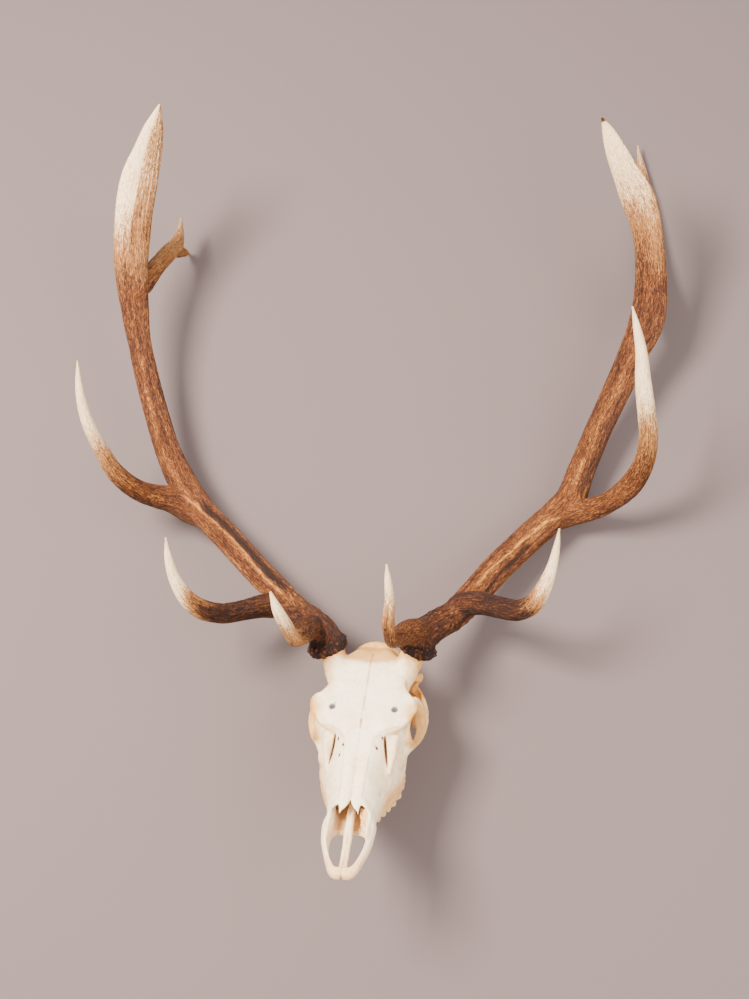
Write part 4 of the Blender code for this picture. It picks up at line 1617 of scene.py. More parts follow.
    def _worn(self, limb: Limb, route: Route, near: Nearness) -> np.ndarray:
        """Return how far a limb is worn to ivory at each point.

        Args:
            limb: The limb and its wear.
            route: Its middle line.
            near: Where the points lie along and round it.

        Returns:
            Numbers from 0 on bark to 1 on ivory, and below 0 on a dark tip.
        """
        relief = self.relief
        from_tip = route.length - near.place
        wander = relief.ivory_wander * Noise.layered(near.fibre / np.array(relief.ivory_cell), 2, 71)
        inner = limb.ivory_to * relief.ivory_share
        outer = limb.bark_from * relief.bark_share
        reach = from_tip + wander * ease(from_tip, 0.0, outer)
        worn = 1.0 - np.clip((reach - inner) / (outer - inner), 0.0, 1.0)
        if limb.dark_tip > 0.0:
            worn -= 1.2 * (1.0 - ease(from_tip, limb.dark_tip * 0.5, limb.dark_tip))
        return worn

    def _bark(self, fibre: np.ndarray) -> tuple[np.ndarray, np.ndarray]:
        """Return the relief of flutes, furrows and pits that run with the fibres.

        Args:
            fibre: Points in the frame of the fibres.

        Returns:
            The height in metres and the tone, which is partly the bark's own colour and partly painted shade
            in the furrows and pits and painted light on the flutes.
        """
        relief = self.relief
        wander = Noise.smooth(fibre / np.array(relief.wander_cell), 3)[:, None] * np.array(relief.wander)
        flutes = Noise.smooth(fibre / np.array(relief.flute_cell) + 0.5 * wander, 29)
        folded = np.abs(Noise.smooth(fibre / np.array(relief.furrow_cell) + wander, 11))
        furrows = 1.0 - ease(folded, 0.0, 0.28)
        creased = np.abs(Noise.smooth(fibre / np.array(relief.pit_cell) + 1.6 * wander, 13))
        here = ease(Noise.smooth(fibre / np.array(relief.pitted_cell), 19), -0.5, 0.3)
        pits = (1.0 - ease(creased, 0.0, 0.40)) * here
        height = relief.flute_height * flutes - relief.furrow_height * furrows - relief.pit_height * pits
        # Painted light on the flutes and painted shade in the furrows and pits, partly the bark's own colour
        tone = 0.14 * flutes - 0.10 * furrows - 0.13 * pits + 0.05
        return height, tone

    def _pearls(self, stem: Nearness, mixing: np.ndarray) -> np.ndarray:
        """Return the small round pearls above the burr, from 0 to 1."""
        relief = self.relief
        gaps = Noise.lumps(stem.fibre / relief.pearl_size * np.array([1.0, 1.0, 0.6]), 5)
        reach = 1.0 - ease(stem.place, relief.pearl_reach * 0.3, relief.pearl_reach)
        return (1.0 - ease(gaps, 0.10, 0.50)) * reach * (1.0 - mixing)

    def _near_tip(self, limbs: list[Nearness], owner: np.ndarray, mixing: np.ndarray) -> np.ndarray:
        """Return 1 at the very tips and 0 away from them."""
        rooms = np.stack([route.length - near.place for route, near in zip(self.routes, limbs)])
        own = np.where(mixing > 0.5, rooms[owner + 1, np.arange(len(owner))], rooms[0])
        return 1.0 - ease(own, 0.0, self.relief.tip_reach)

    def _darkness(
        self,
        stem: Nearness,
        owner: np.ndarray,
        mixing: np.ndarray,
        bark: np.ndarray,
    ) -> np.ndarray:
        """Return how dark the bark is.

        Args:
            stem: Where the points lie along and round the stem.
            owner: The tine nearest to each point.
            mixing: 0 on the stem and 1 on a tine.
            bark: 0 on ivory and 1 on bark.

        Returns:
            One number from 0 to 1 per point.
        """
        relief = self.relief
        low = 1.0 - ease(stem.place, relief.dark_from, relief.dark_to)
        on_tine = np.array([limb.dark for limb in self.limbs[1:]])[owner]
        dark = (1.0 - mixing) * np.maximum(low, self.limbs[0].dark) + mixing * on_tine
        return np.clip(dark * bark, 0.0, 1.0)

    def foot(self) -> tuple[np.ndarray, np.ndarray]:
        """Return the middle of the burr's foot and the direction square to it."""
        ends = self.routes[0].rows(np.array([0.0, 0.004]))[:, :3]
        along = (ends[1] - ends[0]) / np.linalg.norm(ends[1] - ends[0])
        return ends[0], burr_turn(along, 0.0) @ along

    def _burr(self, points: np.ndarray, stem: Nearness, mixing: np.ndarray) -> tuple[np.ndarray, np.ndarray]:
        """Return the swell of the ring at the foot of the antler and the beads on it, from 0 to 1."""
        relief = self.relief
        foot, square = self.foot()
        rise = (points - foot) @ square
        ring = np.exp(-(((rise / relief.burr_height) - 0.38) / 0.40) ** 2)
        ring *= (1.0 - ease(stem.gap, 1.35, 1.8)) * (1.0 - mixing)
        gaps = Noise.lumps(points / relief.bead_size, 17)
        beads = (0.85 - ease(gaps, 0.05, 0.60)) * np.clip(ring * 1.4, 0.0, 1.0)
        return ring, beads


@dataclass(frozen=True)
class Lump:
    """An egg-shaped form: middle, radii and turn in degrees, given for the animal's left."""

    middle: Triple
    radii: Triple
    turn: Triple = (0.0, 0.0, 0.0)

    def placing(self, sign: float = 1.0) -> Matrix:
        """Return what turns a ball of radius 1 into the lump on the side given by a sign."""
        spin = Matrix.Rotation(math.radians(self.turn[2] * sign), 4, "Z")
        spin = spin @ Matrix.Rotation(math.radians(self.turn[1] * sign), 4, "Y")
        spin = spin @ Matrix.Rotation(math.radians(self.turn[0]), 4, "X")
        middle = Vector((self.middle[0] * sign, self.middle[1], self.middle[2]))
        return Matrix.Translation(middle) @ spin @ Matrix.Diagonal((*self.radii, 1.0))

    def shell(self, sign: float = 1.0, rows: int = 18, sides: int = 28) -> Shell:
        """Return the lump's surface on the side given by a sign."""
        angles = np.linspace(0.0, 2.0 * math.pi, sides, endpoint=False)
        tilts = np.linspace(-math.pi / 2, math.pi / 2, rows + 2)[1:-1]
        ring = np.stack([np.cos(angles), np.sin(angles), np.zeros(sides)], axis=1)
        rings = np.array([ring * math.cos(tilt) + (0.0, 0.0, math.sin(tilt)) for tilt in tilts])
        return Shell.of_rings(rings).moved(self.placing(sign))

    def reach(self, points: np.ndarray) -> np.ndarray:
        """Return how far out points of either side lie: 0 in the middle, 1 at the surface."""
        back = np.array(self.placing().inverted())
        mirrored = points.copy()
        mirrored[:, 0] = np.abs(mirrored[:, 0])
        return np.linalg.norm(mirrored @ back[:3, :3].T + back[:3, 3], axis=1)


@dataclass(frozen=True)
class Bar:
    """A bar of bone through points x, y, z, width and height, given for the animal's left."""

    knots: Table
    sides: int = 20
    step: float = 3.0

    def shell(self, sign: float = 1.0) -> Shell:
        """Return the bar's surface on the side given by a sign."""
        knots = tuple((knot[0] * sign, *knot[1:]) for knot in self.knots)
        reach = np.abs(np.array(knots[-1][:3]) - np.array(knots[0][:3]))
        across = (1.0, 0.0, 0.0) if reach[1] > reach[0] else (0.0, 1.0, 0.0)
        return Route(knots, across).tube(self.step, self.sides, 1.0)


@dataclass(frozen=True)
class Sections:
    """A body through sections across the skull, each with three half widths at three heights."""

    stations: Table
    step: float = 3.0
    sides: int = 64

    def shell(self) -> Shell:
        """Return the body's surface."""
        stations = np.array(self.stations, dtype=float)
        start, end = stations[0, 0], stations[-1, 0]
        places = np.linspace(start, end, int((end - start) / self.step))
        columns = [np.interp(places, stations[:, 0], stations[:, column]) for column in range(7)]
        rows = np.stack(columns, axis=1)
        kernel = np.array([1.0, 2.0, 3.0, 2.0, 1.0]) / 9.0
        inner = np.stack([np.convolve(rows[:, column], kernel, "valid") for column in range(7)], axis=1)
        rows[2:-2] = inner
        return Shell.of_rings(np.array([self._outline(row) for row in rows]))

    def _outline(self, row: np.ndarray) -> np.ndarray:
        """Return a smooth closed outline across the skull, mirrored left to right."""
        y, z_low, z_wide, z_high, low, wide, high = row
        half = [(0.0, z_low), (low, z_low), (wide, z_wide), (high, z_high), (0.0, z_high + 1.0)]
        corners = np.array(half + [(-x, z) for x, z in reversed(half[1:-1])])
        count = len(corners)
        places = np.arange(self.sides) * count / self.sides
        spans = places.astype(int)
        share = (places - spans)[:, None]
        before, first, second, after = (corners[(spans + shift) % count] for shift in (-1, 0, 1, 2))
        flat = 0.5 * (
            2 * first
            + (second - before) * share
            + (2 * before - 5 * first + 4 * second - after) * share ** 2
            + (3 * first - before - 3 * second + after) * share ** 3
        )
        return np.stack([flat[:, 0], np.full(self.sides, y), flat[:, 1]], axis=1)


@dataclass(frozen=True)
class Rim:
    """A round rim of bone, given for the animal's left."""

    centre: Triple = (80.0, 272.0, 97.0)
    facing: Triple = (0.96, -0.18, 0.18)
    radius: float = 28.0
    thickness: float = 6.0
    turns: int = 64
    sides: int = 16

    def shell(self, sign: float) -> Shell:
        """Return the rim's surface on the side given by a sign."""
        axis = Vector((self.facing[0] * sign, *self.facing[1:])).normalized()
        first = np.array(axis.orthogonal().normalized())
        second = np.cross(np.array(axis), first)
        turns = np.linspace(0.0, 2.0 * math.pi, self.turns, endpoint=False)
        spins = np.linspace(0.0, 2.0 * math.pi, self.sides, endpoint=False)
        outward = first[None] * np.cos(turns)[:, None] + second[None] * np.sin(turns)[:, None]
        reach = self.radius + self.thickness * np.cos(spins)
        lift = self.thickness * np.sin(spins)
        centre = np.array((self.centre[0] * sign, *self.centre[1:]))
        rings = centre + outward[:, None, :] * reach[None, :, None] + np.array(axis) * lift[None, :, None]
        return Shell.of_rings(rings, closed=True)


@dataclass(frozen=True)
class SkullForms:
    """Every form of the skull, in millimetres in the skull frame."""

    body: Sections = Sections(
        (
            (1, 4, 8, 13, 9, 12, 9),
            (5, 3, 9, 16, 15, 19, 15),
            (14, 3, 10, 19, 19, 25, 20),
            (34, 5, 14, 27, 24, 32, 27),
            (60, 9, 24, 40, 28, 40, 32),
            (88, 12, 33, 55, 31, 43, 30),
            (112, 14, 36, 68, 33, 38, 20),
            (135, 14, 38, 77, 36, 41, 20),
            (180, 11, 44, 95, 49, 55, 25),
            (215, 8, 44, 110, 59, 66, 32),
            (228, 8, 50, 116, 60, 69, 42),
            (239, 12, 62, 123, 57, 71, 58),
            (262, 20, 110, 130, 47, 79, 64),
            (285, 36, 126, 137, 36, 84, 66),
            (312, 44, 130, 145, 34, 63, 56),
            (335, 46, 126, 152, 36, 58, 56),
            (356, 45, 118, 159, 42, 58, 58),
            (368, 45, 105, 157, 44, 56, 50),
            (400, 46, 92, 152, 46, 53, 34),
            (425, 52, 86, 141, 44, 51, 28),
            (440, 60, 88, 130, 34, 42, 22),
            (447, 70, 92, 118, 20, 26, 14),
        )
    )
    nasal_hollow: Sections = Sections(
        (
            (14.5, -8, 20, 60, 8, 10, 10),
            (19, -8, 20, 60, 12, 15, 14),
            (26, -8, 20, 60, 15, 19, 18),
            (40, -8, 22, 70, 18, 25, 24),
            (60, -8, 30, 80, 20, 31, 29),
            (78, -8, 36, 88, 20, 33, 31),
            (86, -8, 38, 92, 16, 33, 30),
            (90, 18, 40, 92, 20, 33, 28),
            (98, 19, 41, 90, 22, 33, 22),
            (102, 19, 42, 60, 22, 33, 17),
            (113, 19, 43, 62, 22, 33, 16),
            (135, 20, 45, 72, 22, 33, 15),
            (180, 24, 50, 88, 22, 34, 18),
            (225, 40, 60, 98, 12, 20, 14),
        )
    )
    orbit_rim: Rim = Rim()
    crest: Bar = Bar(
        (
            (-46, 424, 104, 12, 10),
            (-32, 432, 133, 12, 10),
            (0, 436, 145, 12, 10),
            (32, 432, 133, 12, 10),
            (46, 424, 104, 12, 10),
        )
    )
    side_bars: dict[str, Bar] = field(
        default_factory=lambda: {
            "zygomatic_arch": Bar(
                (
                    (60, 214, 60, 12, 16),
                    (72, 244, 68, 12, 18),
                    (87, 275, 68, 12, 20),
                    (95, 305, 76, 11, 18),
                    (91, 338, 86, 12, 16),
                    (79, 366, 92, 13, 16),
                    (60, 392, 97, 18, 18),
                )
            ),
            "postorbital_bar": Bar(
                (
                    (76, 300, 128, 16, 16),
                    (84, 304, 112, 12, 23),
                    (85, 304, 92, 12, 26),
                    (85, 300, 72, 14, 20),
                )
            ),
            "pedicle": Bar(
                (
                    (44, 326, 114, 44, 40),
                    (54, 350, 137, 42, 44),
                    (67, 376, 160, 41, 45),
                    (77, 405, 184, 42, 46),
                ),
                40,
            ),
            "temporal_edge": Bar(
                (
                    (60, 352, 126, 16, 14),
                    (73, 368, 124, 14, 16),
                    (79, 384, 115, 11, 18),
                    (72, 397, 100, 12, 16),
                    (56, 404, 88, 14, 16),
                )
            ),
            "lacrimal_pillar": Bar(
                (
                    (62, 258, 112, 22, 18),
                    (55, 234, 101, 17, 18),
                    (54, 208, 84, 13, 14),
                    (50, 186, 62, 9, 10),
                )
            ),
            "tooth_ridge": Bar(
                (
                    (31, 122, 21, 12, 12),
                    (40, 157, 17, 20, 16),
                    (50, 192, 14, 24, 18),
                    (55, 215, 11, 25, 18),
                    (57, 242, 11, 24, 18),
                    (55, 266, 18, 16, 18),
                )
            ),
            "brow_rim": Bar(
                (
                    (38, 226, 115, 10, 8),
                    (58, 233, 118, 12, 8),
                    (77, 260, 124, 12, 9),
                    (84, 282, 125, 10, 9),
                    (79, 302, 129, 12, 10),
                )
            ),
            "pterygoid": Bar(((14, 266, 28, 6, 20), (16, 290, 34, 5, 20), (18, 312, 44, 5, 14))),
            "neck_process": Bar(((40, 424, 62, 14, 16), (40, 428, 46, 9, 11), (38, 430, 32, 6, 6))),
        }
    )
    side_lumps: dict[str, Lump] = field(
        default_factory=lambda: {
            "condyle": Lump((19, 446, 64), (14, 13, 17), (0, 0, 15)),
            "ear_capsule": Lump((30, 390, 46), (11, 15, 11)),
            "braincase": Lump((22, 385, 106), (36, 48, 46)),
            "mastoid": Lump((44, 414, 80), (12, 16, 26)),
            "cheek_bone": Lump((60, 228, 60), (12, 24, 16)),
            "jaw_socket": Lump((60, 378, 74), (20, 15, 10)),
        }
    )
    middle_hollows: tuple[Lump | Bar, ...] = (
        Lump((0, 385, 102), (34, 40, 28)),
        Bar(((0, 475, 66, 34, 30), (0, 445, 74, 31, 28), (0, 415, 86, 28, 26)), 32),
        Lump((0, 302, 26), (14, 40, 22)),
        Lump((0, 200, 1), (35, 74, 16)),
    )
    side_hollows: dict[str, Lump] = field(
        default_factory=lambda: {
            "orbit": Lump((90, 270, 97), (36, 27, 26), (0, -8, -16)),
            "orbit_floor": Lump((54, 287, 93), (28, 18, 16), (0, 0, 12)),
            "temporal_fossa": Lump((72, 342, 98), (13, 32, 32)),
            "face_gap": Lump((44, 204, 92), (2.6, 31, 15), (27, 0, 12)),
            "brow_hole": Lump((51, 264, 137), (5.6, 6.9, 8)),
            "cheek_hole": Lump((46, 148, 50), (8, 9, 5)),
            "rim_hole": Lump((74, 243, 104), (2.4, 6, 2.4), (0, 0, -20)),
            "palate_hole": Lump((15, 238, 16), (3.2, 6, 8)),
            "ear_hole": Lump((58, 392, 72), (10, 5, 5)),
        }
    )
    nose_floor: Bar = Bar(
        (
            (0, 6, 10, 18, 9),
            (0, 30, 13, 15, 9),
            (0, 60, 21, 14.5, 12),
            (0, 90, 31, 14, 15),
            (0, 120, 38, 13, 20),
            (0, 165, 46, 9, 26),
            (0, 205, 58, 9, 32),
        )
    )
    nasal_bone: Bar = Bar(
        (
            (14.2, 89, 57, 2.5, 3),
            (13.8, 95, 60.5, 6, 4.5),
            (11.8, 100, 63, 12, 6),
            (10.2, 106, 66, 16.5, 7.5),
            (9.6, 112, 68, 17.5, 8),
            (9.8, 130, 75, 19, 9),
            (12, 180, 95, 22, 9),
            (13, 226, 113, 24, 9),
        )
    )
    nose_scroll: Lump = Lump((31, 100, 38), (5.5, 45, 15))
    # Broken edges of the thin scrolled bones inside the nose, on the animal's left only
    torn_scrolls: tuple[Lump, ...] = (
        Lump((22, 104, 48), (4.2, 9, 7), (0, 12, 10)),
        Lump((23, 94, 42), (4.2, 6, 8), (0, -10, -8)),
        Lump((20, 88, 39), (3.4, 4, 5)),
        Lump((17.6, 99, 45), (2.0, 5, 5), (0, 20, 0)),
        Lump((17.2, 107, 50), (1.8, 8, 5), (0, 10, 0)),
        Lump((24, 84, 34), (3.6, 5, 6)),
    )
    torn_place: Lump = Lump((21, 96, 45), (9, 18, 15))
    muzzle_notch: Lump = Lump((0, 0, 6), (1.9, 5.0, 16))
    # The narrow gap that runs up between the ends of the nasal bones
    nasal_notch: Lump = Lump((0, 104, 68), (1.7, 12, 9))


@dataclass(frozen=True)
class Seam:
    """A line where bones meet on the upper side: points x and y, on both sides unless it is the middle."""

    points: Pairs
    width: float
    depth: float
    stain: float

    def strength(self, points: np.ndarray) -> np.ndarray:
        """Return from 0 to 1 how near points of the skull lie to the line, seen from above."""
        wobble = Noise.smooth(points / 5.0, 83), Noise.smooth(points / 5.0, 84)
        x = np.abs(points[:, 0]) + 1.1 * wobble[0]
        y = points[:, 1] + 1.1 * wobble[1]
        nearest = np.full(len(points), 1e9)
        for (x_from, y_from), (x_to, y_to) in zip(self.points, self.points[1:]):
            run_x, run_y = x_to - x_from, y_to - y_from
            share = ((x - x_from) * run_x + (y - y_from) * run_y) / (run_x ** 2 + run_y ** 2)
            share = np.clip(share, 0.0, 1.0)
            gap = np.hypot(x - x_from - share * run_x, y - y_from - share * run_y)
            nearest = np.minimum(nearest, gap)
        return np.exp(-((nearest / self.width) ** 2))


@dataclass(frozen=True)
class Pit:
    """A small hole in the upper side: place, radius and depth; painted dark as shade in the hole, or painted
    grey.
    """

    x: float
    y: float
    radius: float
    depth: float
    filled: bool = False
    # Length along the skull for each unit of width
    stretch: float = 1.0

    def strength(self, points: np.ndarray) -> np.ndarray:
        """Return 1 inside the hole and 0 outside it, seen from above."""
        away = np.hypot(points[:, 0] - self.x, (points[:, 1] - self.y) / self.stretch)
        return 1.0 - ease(away, self.radius * 0.7, self.radius * 1.25)


@dataclass(frozen=True)
class Region:
    """A part of the skull with soft edges, the same on both sides, in millimetres in the skull frame.

    Each pair holds where the region fades in, or fades out, as that distance rises.
    """

    share: float = 1.0
    x_in: tuple[float, float] | None = None
    x_out: tuple[float, float] | None = None
    y_in: tuple[float, float] | None = None
    y_out: tuple[float, float] | None = None
    z_in: tuple[float, float] | None = None
    z_out: tuple[float, float] | None = None

    def strength(self, points: np.ndarray) -> np.ndarray:
        """Return how strongly the region holds at points of the skull, from 0 to its share."""
        result = np.full(len(points), self.share)
        distances = np.abs(points[:, 0]), points[:, 1], points[:, 2]
        rises = self.x_in, self.y_in, self.z_in
        falls = self.x_out, self.y_out, self.z_out
        for distance, rise, fall in zip(distances, rises, falls):
            if rise:
                result = result * ease(distance, *rise)
            if fall:
                result = result * (1.0 - ease(distance, *fall))
        return result


@dataclass(frozen=True)
class BoneMarks:
    """The seams, small holes and warmer parts of the skull, partly painted shade, in millimetres in the
    skull frame.
    """

    seams: tuple[Seam, ...] = (
        Seam(((0, 392), (0, 345), (0, 300), (0, 262)), 1.6, 0.45, 0.60),
        Seam(((0, 262), (0, 248)), 0.9, 0.2, 0.20),
        Seam(((0, 243), (-1, 226), (-2, 208)), 1.4, 0.9, 0.95),
        Seam(((0, 212), (0, 190), (0, 150), (0, 114)), 1.1, 0.7, 0.35),
        Seam(((26, 216), (23, 195), (20.5, 168), (19, 140), (19.5, 116)), 1.1, 0.7, 0.28),
        Seam(((62, 232), (48, 228), (34, 223), (25, 211)), 1.4, 0.8, 0.55),
        Seam(((25, 211), (14, 225), (0, 232)), 1.2, 0.3, 0.15),
        Seam(((0, 4), (0, 30), (0, 60), (0, 88)), 1.2, 0.9, 0.60),
        Seam(((24, 118), (31, 112), (36, 96), (35, 74)), 1.0, 0.35, 0.22),
    )
    pits: tuple[Pit, ...] = (
        Pit(51, 264, 5.8, 0.0, True, 1.2),
        Pit(-51, 264, 5.8, 0.0, True, 1.2),
        Pit(-47, 273, 1.8, 1.2),
        Pit(-24, 200, 2.3, 1.8, stretch=1.4),
        Pit(-28.5, 187, 2.2, 1.8, stretch=1.5),
        Pit(30, 201, 2.6, 1.8, stretch=1.3),
        Pit(-34, 214, 2.0, 1.4, stretch=1.6),
        Pit(37, 219, 2.2, 1.6),
        Pit(73, 321, 2.6, 1.8),
        Pit(-30, 152, 1.4, 0.8),
        Pit(33, 140, 1.4, 0.8),
        Pit(16, 330, 1.2, 0.6),
        Pit(-22, 318, 1.2, 0.6),
    )
    # The knobbly edge of bone round the cheek teeth
    gum: Region = Region(x_in=(20, 30), y_in=(120, 135), y_out=(262, 285), z_out=(26, 44))
    # The cleft between the two bones of the muzzle, painted dark as shade
    cleft: Region = Region(0.7, x_out=(0.8, 2.2), y_out=(6, 10), z_out=(13, 17))
    # Warmer tone by region; on the crown, the face and the waist it is partly painted shade
    warm_and_shaded_parts: dict[str, Region] = field(
        default_factory=lambda: {
            "pedicle": Region(0.45, y_in=(330, 380), z_in=(138, 175)),
            "underside": Region(0.25, z_out=(20, 60)),
            "back": Region(0.35, y_in=(385, 425)),
            "crown": Region(0.65, y_in=(350, 364)),
            "nose": Region(0.34, x_out=(20, 34), y_in=(80, 105), y_out=(200, 240), z_out=(50, 64)),
            "waist": Region(0.55, x_in=(48, 66), y_in=(285, 320), y_out=(370, 400)),
            "muzzle": Region(0.45, y_out=(10, 50)),
            "face": Region(0.34, x_in=(28, 46), y_in=(120, 160), y_out=(225, 250)),
        }
    )


@dataclass(frozen=True)
class BoneRelief:
    """Sizes of the bone's mesh and relief, in metres."""

    voxel: float = 0.0015
    triangles: int = 190000
    fill_passes: int = 45
    socket_gap: float = 0.0003
    seat_depth: float = 0.060
    seat_radius: float = 0.045
    brow_gap: float = 0.0024
    wave_size: float = 0.024
    wave_height: float = 0.0008
    pit_size: float = 0.006
    pit_height: float = 0.00028
    gum_size: float = 0.008
    gum_height: float = 0.0014
    torn_size: float = 0.0048
    torn_height: float = 0.0024


class Skull:
    """The skull without its teeth."""

    def __init__(self, forms: SkullForms, marks: BoneMarks, relief: BoneRelief) -> None:
        """Set the skull out.

        Args:
            forms: The skull's forms.
            marks: Its seams and small holes.
            relief: The sizes of its mesh and relief.
        """
        self.forms = forms
        self.marks = marks
        self.relief = relief

    def build(
        self,
        material: Material,
        dresser: Dresser,
        teeth: "ToothRows",
        antlers: list[Antler],
    ) -> Object:
        """Make the skull and put it in the scene.

        Args:
            material: The bone's finish.
            dresser: Puts the piece in the scene.
            teeth: The teeth, which need sockets.
            antlers: The antlers, under which the bone is cut off.

        Returns:
            The new object.
        """
        forge = Forge("skull")
        voxel = self.relief.voxel / MM
        mesh = forge.fused(Shell.joined(self._outer()).to_mesh("skull"), voxel)
        sculpt = Sculpt(mesh)
        sculpt.fill_creases(self.relief.fill_passes)
        sculpt.relax(6)
        hollows = forge.fused(Shell.joined(self._hollows()).to_mesh("hollows"), voxel)
        mesh = forge.combined(mesh, hollows, "DIFFERENCE")
        bones = forge.fused(Shell.joined(self._inner()).to_mesh("bones"), voxel)
        mesh = forge.combined(mesh, bones, "UNION")
        mesh = forge.fused(mesh, voxel)
        notch = self.forms.nasal_notch.shell().facing_out().to_mesh("notch")
        mesh = forge.combined(mesh, notch, "DIFFERENCE")
        mesh = forge.fused(mesh, voxel)
        sculpt = Sculpt(mesh)
        sculpt.relax(5)
        self._carve(sculpt)
        mesh = forge.thinned(mesh, self.relief.triangles)
        mesh = forge.combined(mesh, teeth.sockets(), "DIFFERENCE")
        for antler in antlers:
            mesh = forge.combined(mesh, self._seat(antler), "DIFFERENCE")
            mesh = forge.combined(mesh, self._brow_room(antler), "DIFFERENCE")
        sculpt = Sculpt(mesh)
        self._paint(sculpt)
        place = np.array(skull_matrix())
        sculpt.points = sculpt.points * MM @ place[:3, :3].T + place[:3, 3]
        return dresser.add("skull_bone", sculpt, material, ["skull"], "bone")

    def _outer(self) -> list[Shell]:
        """Return every outward form."""
        forms = self.forms
        shells = [forms.body.shell(), forms.crest.shell()]
        for side in Side:
            shells.append(forms.orbit_rim.shell(side.value))
            shells.extend(bar.shell(side.value) for bar in forms.side_bars.values())
            shells.extend(lump.shell(side.value) for lump in forms.side_lumps.values())
        return [shell.facing_out() for shell in shells]

    def _hollows(self) -> list[Shell]:
        """Return every hollow."""
        forms = self.forms
        shells = [forms.nasal_hollow.shell(), forms.muzzle_notch.shell()]
        shells.extend(hollow.shell() for hollow in forms.middle_hollows)
        for side in Side:
            shells.extend(lump.shell(side.value) for lump in forms.side_hollows.values())
        return [shell.facing_out() for shell in shells]

    def _inner(self) -> list[Shell]:
        """Return the bones inside the nose."""
        forms = self.forms
        shells = [forms.nose_floor.shell()]
        shells.extend(lump.shell(Side.LEFT.value) for lump in forms.torn_scrolls)
        for side in Side:
            shells.append(forms.nasal_bone.shell(side.value))
            shells.append(forms.nose_scroll.shell(side.value))
        return [shell.facing_out() for shell in shells]

    @staticmethod
    def _upward(sculpt: Sculpt) -> np.ndarray:
        """Return 1 where the surface faces up on the outside of the skull and 0 elsewhere."""
        facing = ease(sculpt.normals()[:, 2], 0.05, 0.35)
        x, y, z = np.abs(sculpt.points[:, 0]), sculpt.points[:, 1], sculpt.points[:, 2]
        # The height below which a point lies inside the nose or under the face
        floor = np.interp(y, (0, 90, 100, 226, 300, 400), (-20, 8, 50, 88, 112, 110))
        return facing * ease(z - floor + 0.1 * x, 0.0, 6.0)

    def _carve(self, sculpt: Sculpt) -> None:
        """Cut the seams and pits, and give the bone the slight unevenness of a natural surface."""
        relief = self.relief
        points = sculpt.points
        upward = self._upward(sculpt)
        heights = relief.wave_height * Noise.layered(points * MM / relief.wave_size, 2, 41)
        heights += relief.pit_height * Noise.layered(points * MM / relief.pit_size, 2, 43)
        knobs = 0.5 - Noise.lumps(points * MM / relief.gum_size, 47)
        heights += relief.gum_height * knobs * self.marks.gum.strength(points)
        shreds = 0.5 - Noise.lumps(points * MM / relief.torn_size, 59)
        heights += relief.torn_height * shreds * self._torn(points)
        heights = heights / MM
        for seam in self.marks.seams:
            heights -= seam.depth * seam.strength(points) * upward
        for pit in self.marks.pits:
            heights -= pit.depth * pit.strength(points) * upward
        sculpt.push(heights)

    def _torn(self, points: np.ndarray) -> np.ndarray:
        """Return 1 on the broken scrolls inside the nose and 0 elsewhere."""
        near = 1.0 - ease(self.forms.torn_place.reach(points), 0.8, 1.2)
        return near * ease(points[:, 0], 13.0, 17.0)

    def _round_orbits(self, points: np.ndarray) -> np.ndarray:
        """Return 1 round the rims of the eye sockets and 0 elsewhere."""
        mirrored = points.copy()
        mirrored[:, 0] = np.abs(mirrored[:, 0])
        away = np.linalg.norm(mirrored - np.array(self.forms.orbit_rim.centre), axis=1)
        return (1.0 - ease(np.abs(away - 30.0), 3.0, 15.0)) * ease(mirrored[:, 0], 58.0, 80.0)

    def _warmth_and_shade(self, points: np.ndarray, hollow: np.ndarray) -> np.ndarray:
        """Return how warm in tone the bone is; on the crown, the face, the waist and in the hollows the warm
        tone is partly painted shade.

        Args:
            points: Points of the skull.
            hollow: How deep each lies below its surroundings; below 0 on an edge.

        Returns:
            One number from 0 to 1 per point.
        """
        edge = ease(-hollow, 0.12, 0.60) * ease(np.abs(points[:, 0]), 16.0, 40.0)
        warm_and_shade = 0.80 * self._round_orbits(points) + 0.60 * self._torn(points) + 0.35 * edge
        # Warmer in the hollows: partly painted shade
        warm_and_shade += 0.30 * np.clip(hollow, 0.0, 1.0) + 0.30 * self.marks.gum.strength(points)
        for region in self.marks.warm_and_shaded_parts.values():
            warm_and_shade += region.strength(points)
        return np.clip(warm_and_shade, 0.0, 1.0)

    def _paint(self, sculpt: Sculpt) -> None:
        """Store where the bone lies, where it is hollow and darkened with painted shade, its warm tone,
        partly painted shade, where it is painted grey, and where its seams run.
        """
        points = sculpt.points
        upward = self._upward(sculpt)
        hollow = sculpt.spread(np.clip(sculpt.hollowness(40) / 3.5, -1.0, 1.0), 2)
        seams = np.zeros(len(points))
        for seam in self.marks.seams:
            seams = np.maximum(seams, seam.stain * seam.strength(points) * upward)
        # Painted shade: darker where the bone lies deep, in the muzzle cleft, the face slits and the small
        # holes
        slit = 1.0 - ease(self.forms.side_hollows["face_gap"].reach(points), 0.95, 1.15)
        dark = np.maximum(np.clip(hollow, 0.0, 1.0), self.marks.cleft.strength(points))
        dark = np.maximum(dark, 0.9 * slit)
        # Grey painted over the two brow holes
        brow_hole_grey = np.zeros(len(points))
        for pit in self.marks.pits:
            if pit.filled:
                brow_hole_grey = np.maximum(brow_hole_grey, pit.strength(points) * ease(points[:, 2], 112.0, 118.0))
            else:
                # Painted shade inside the small holes
                dark = np.maximum(dark, pit.strength(points) * upward)
        sculpt.paint("place", points * MM)
        sculpt.paint("hollow", dark * (1.0 - brow_hole_grey))
        sculpt.paint("warm_and_shade", self._warmth_and_shade(points, hollow))
        sculpt.paint("seam", np.clip(seams, 0.0, 1.0))
        sculpt.paint("brow_hole_grey", brow_hole_grey)

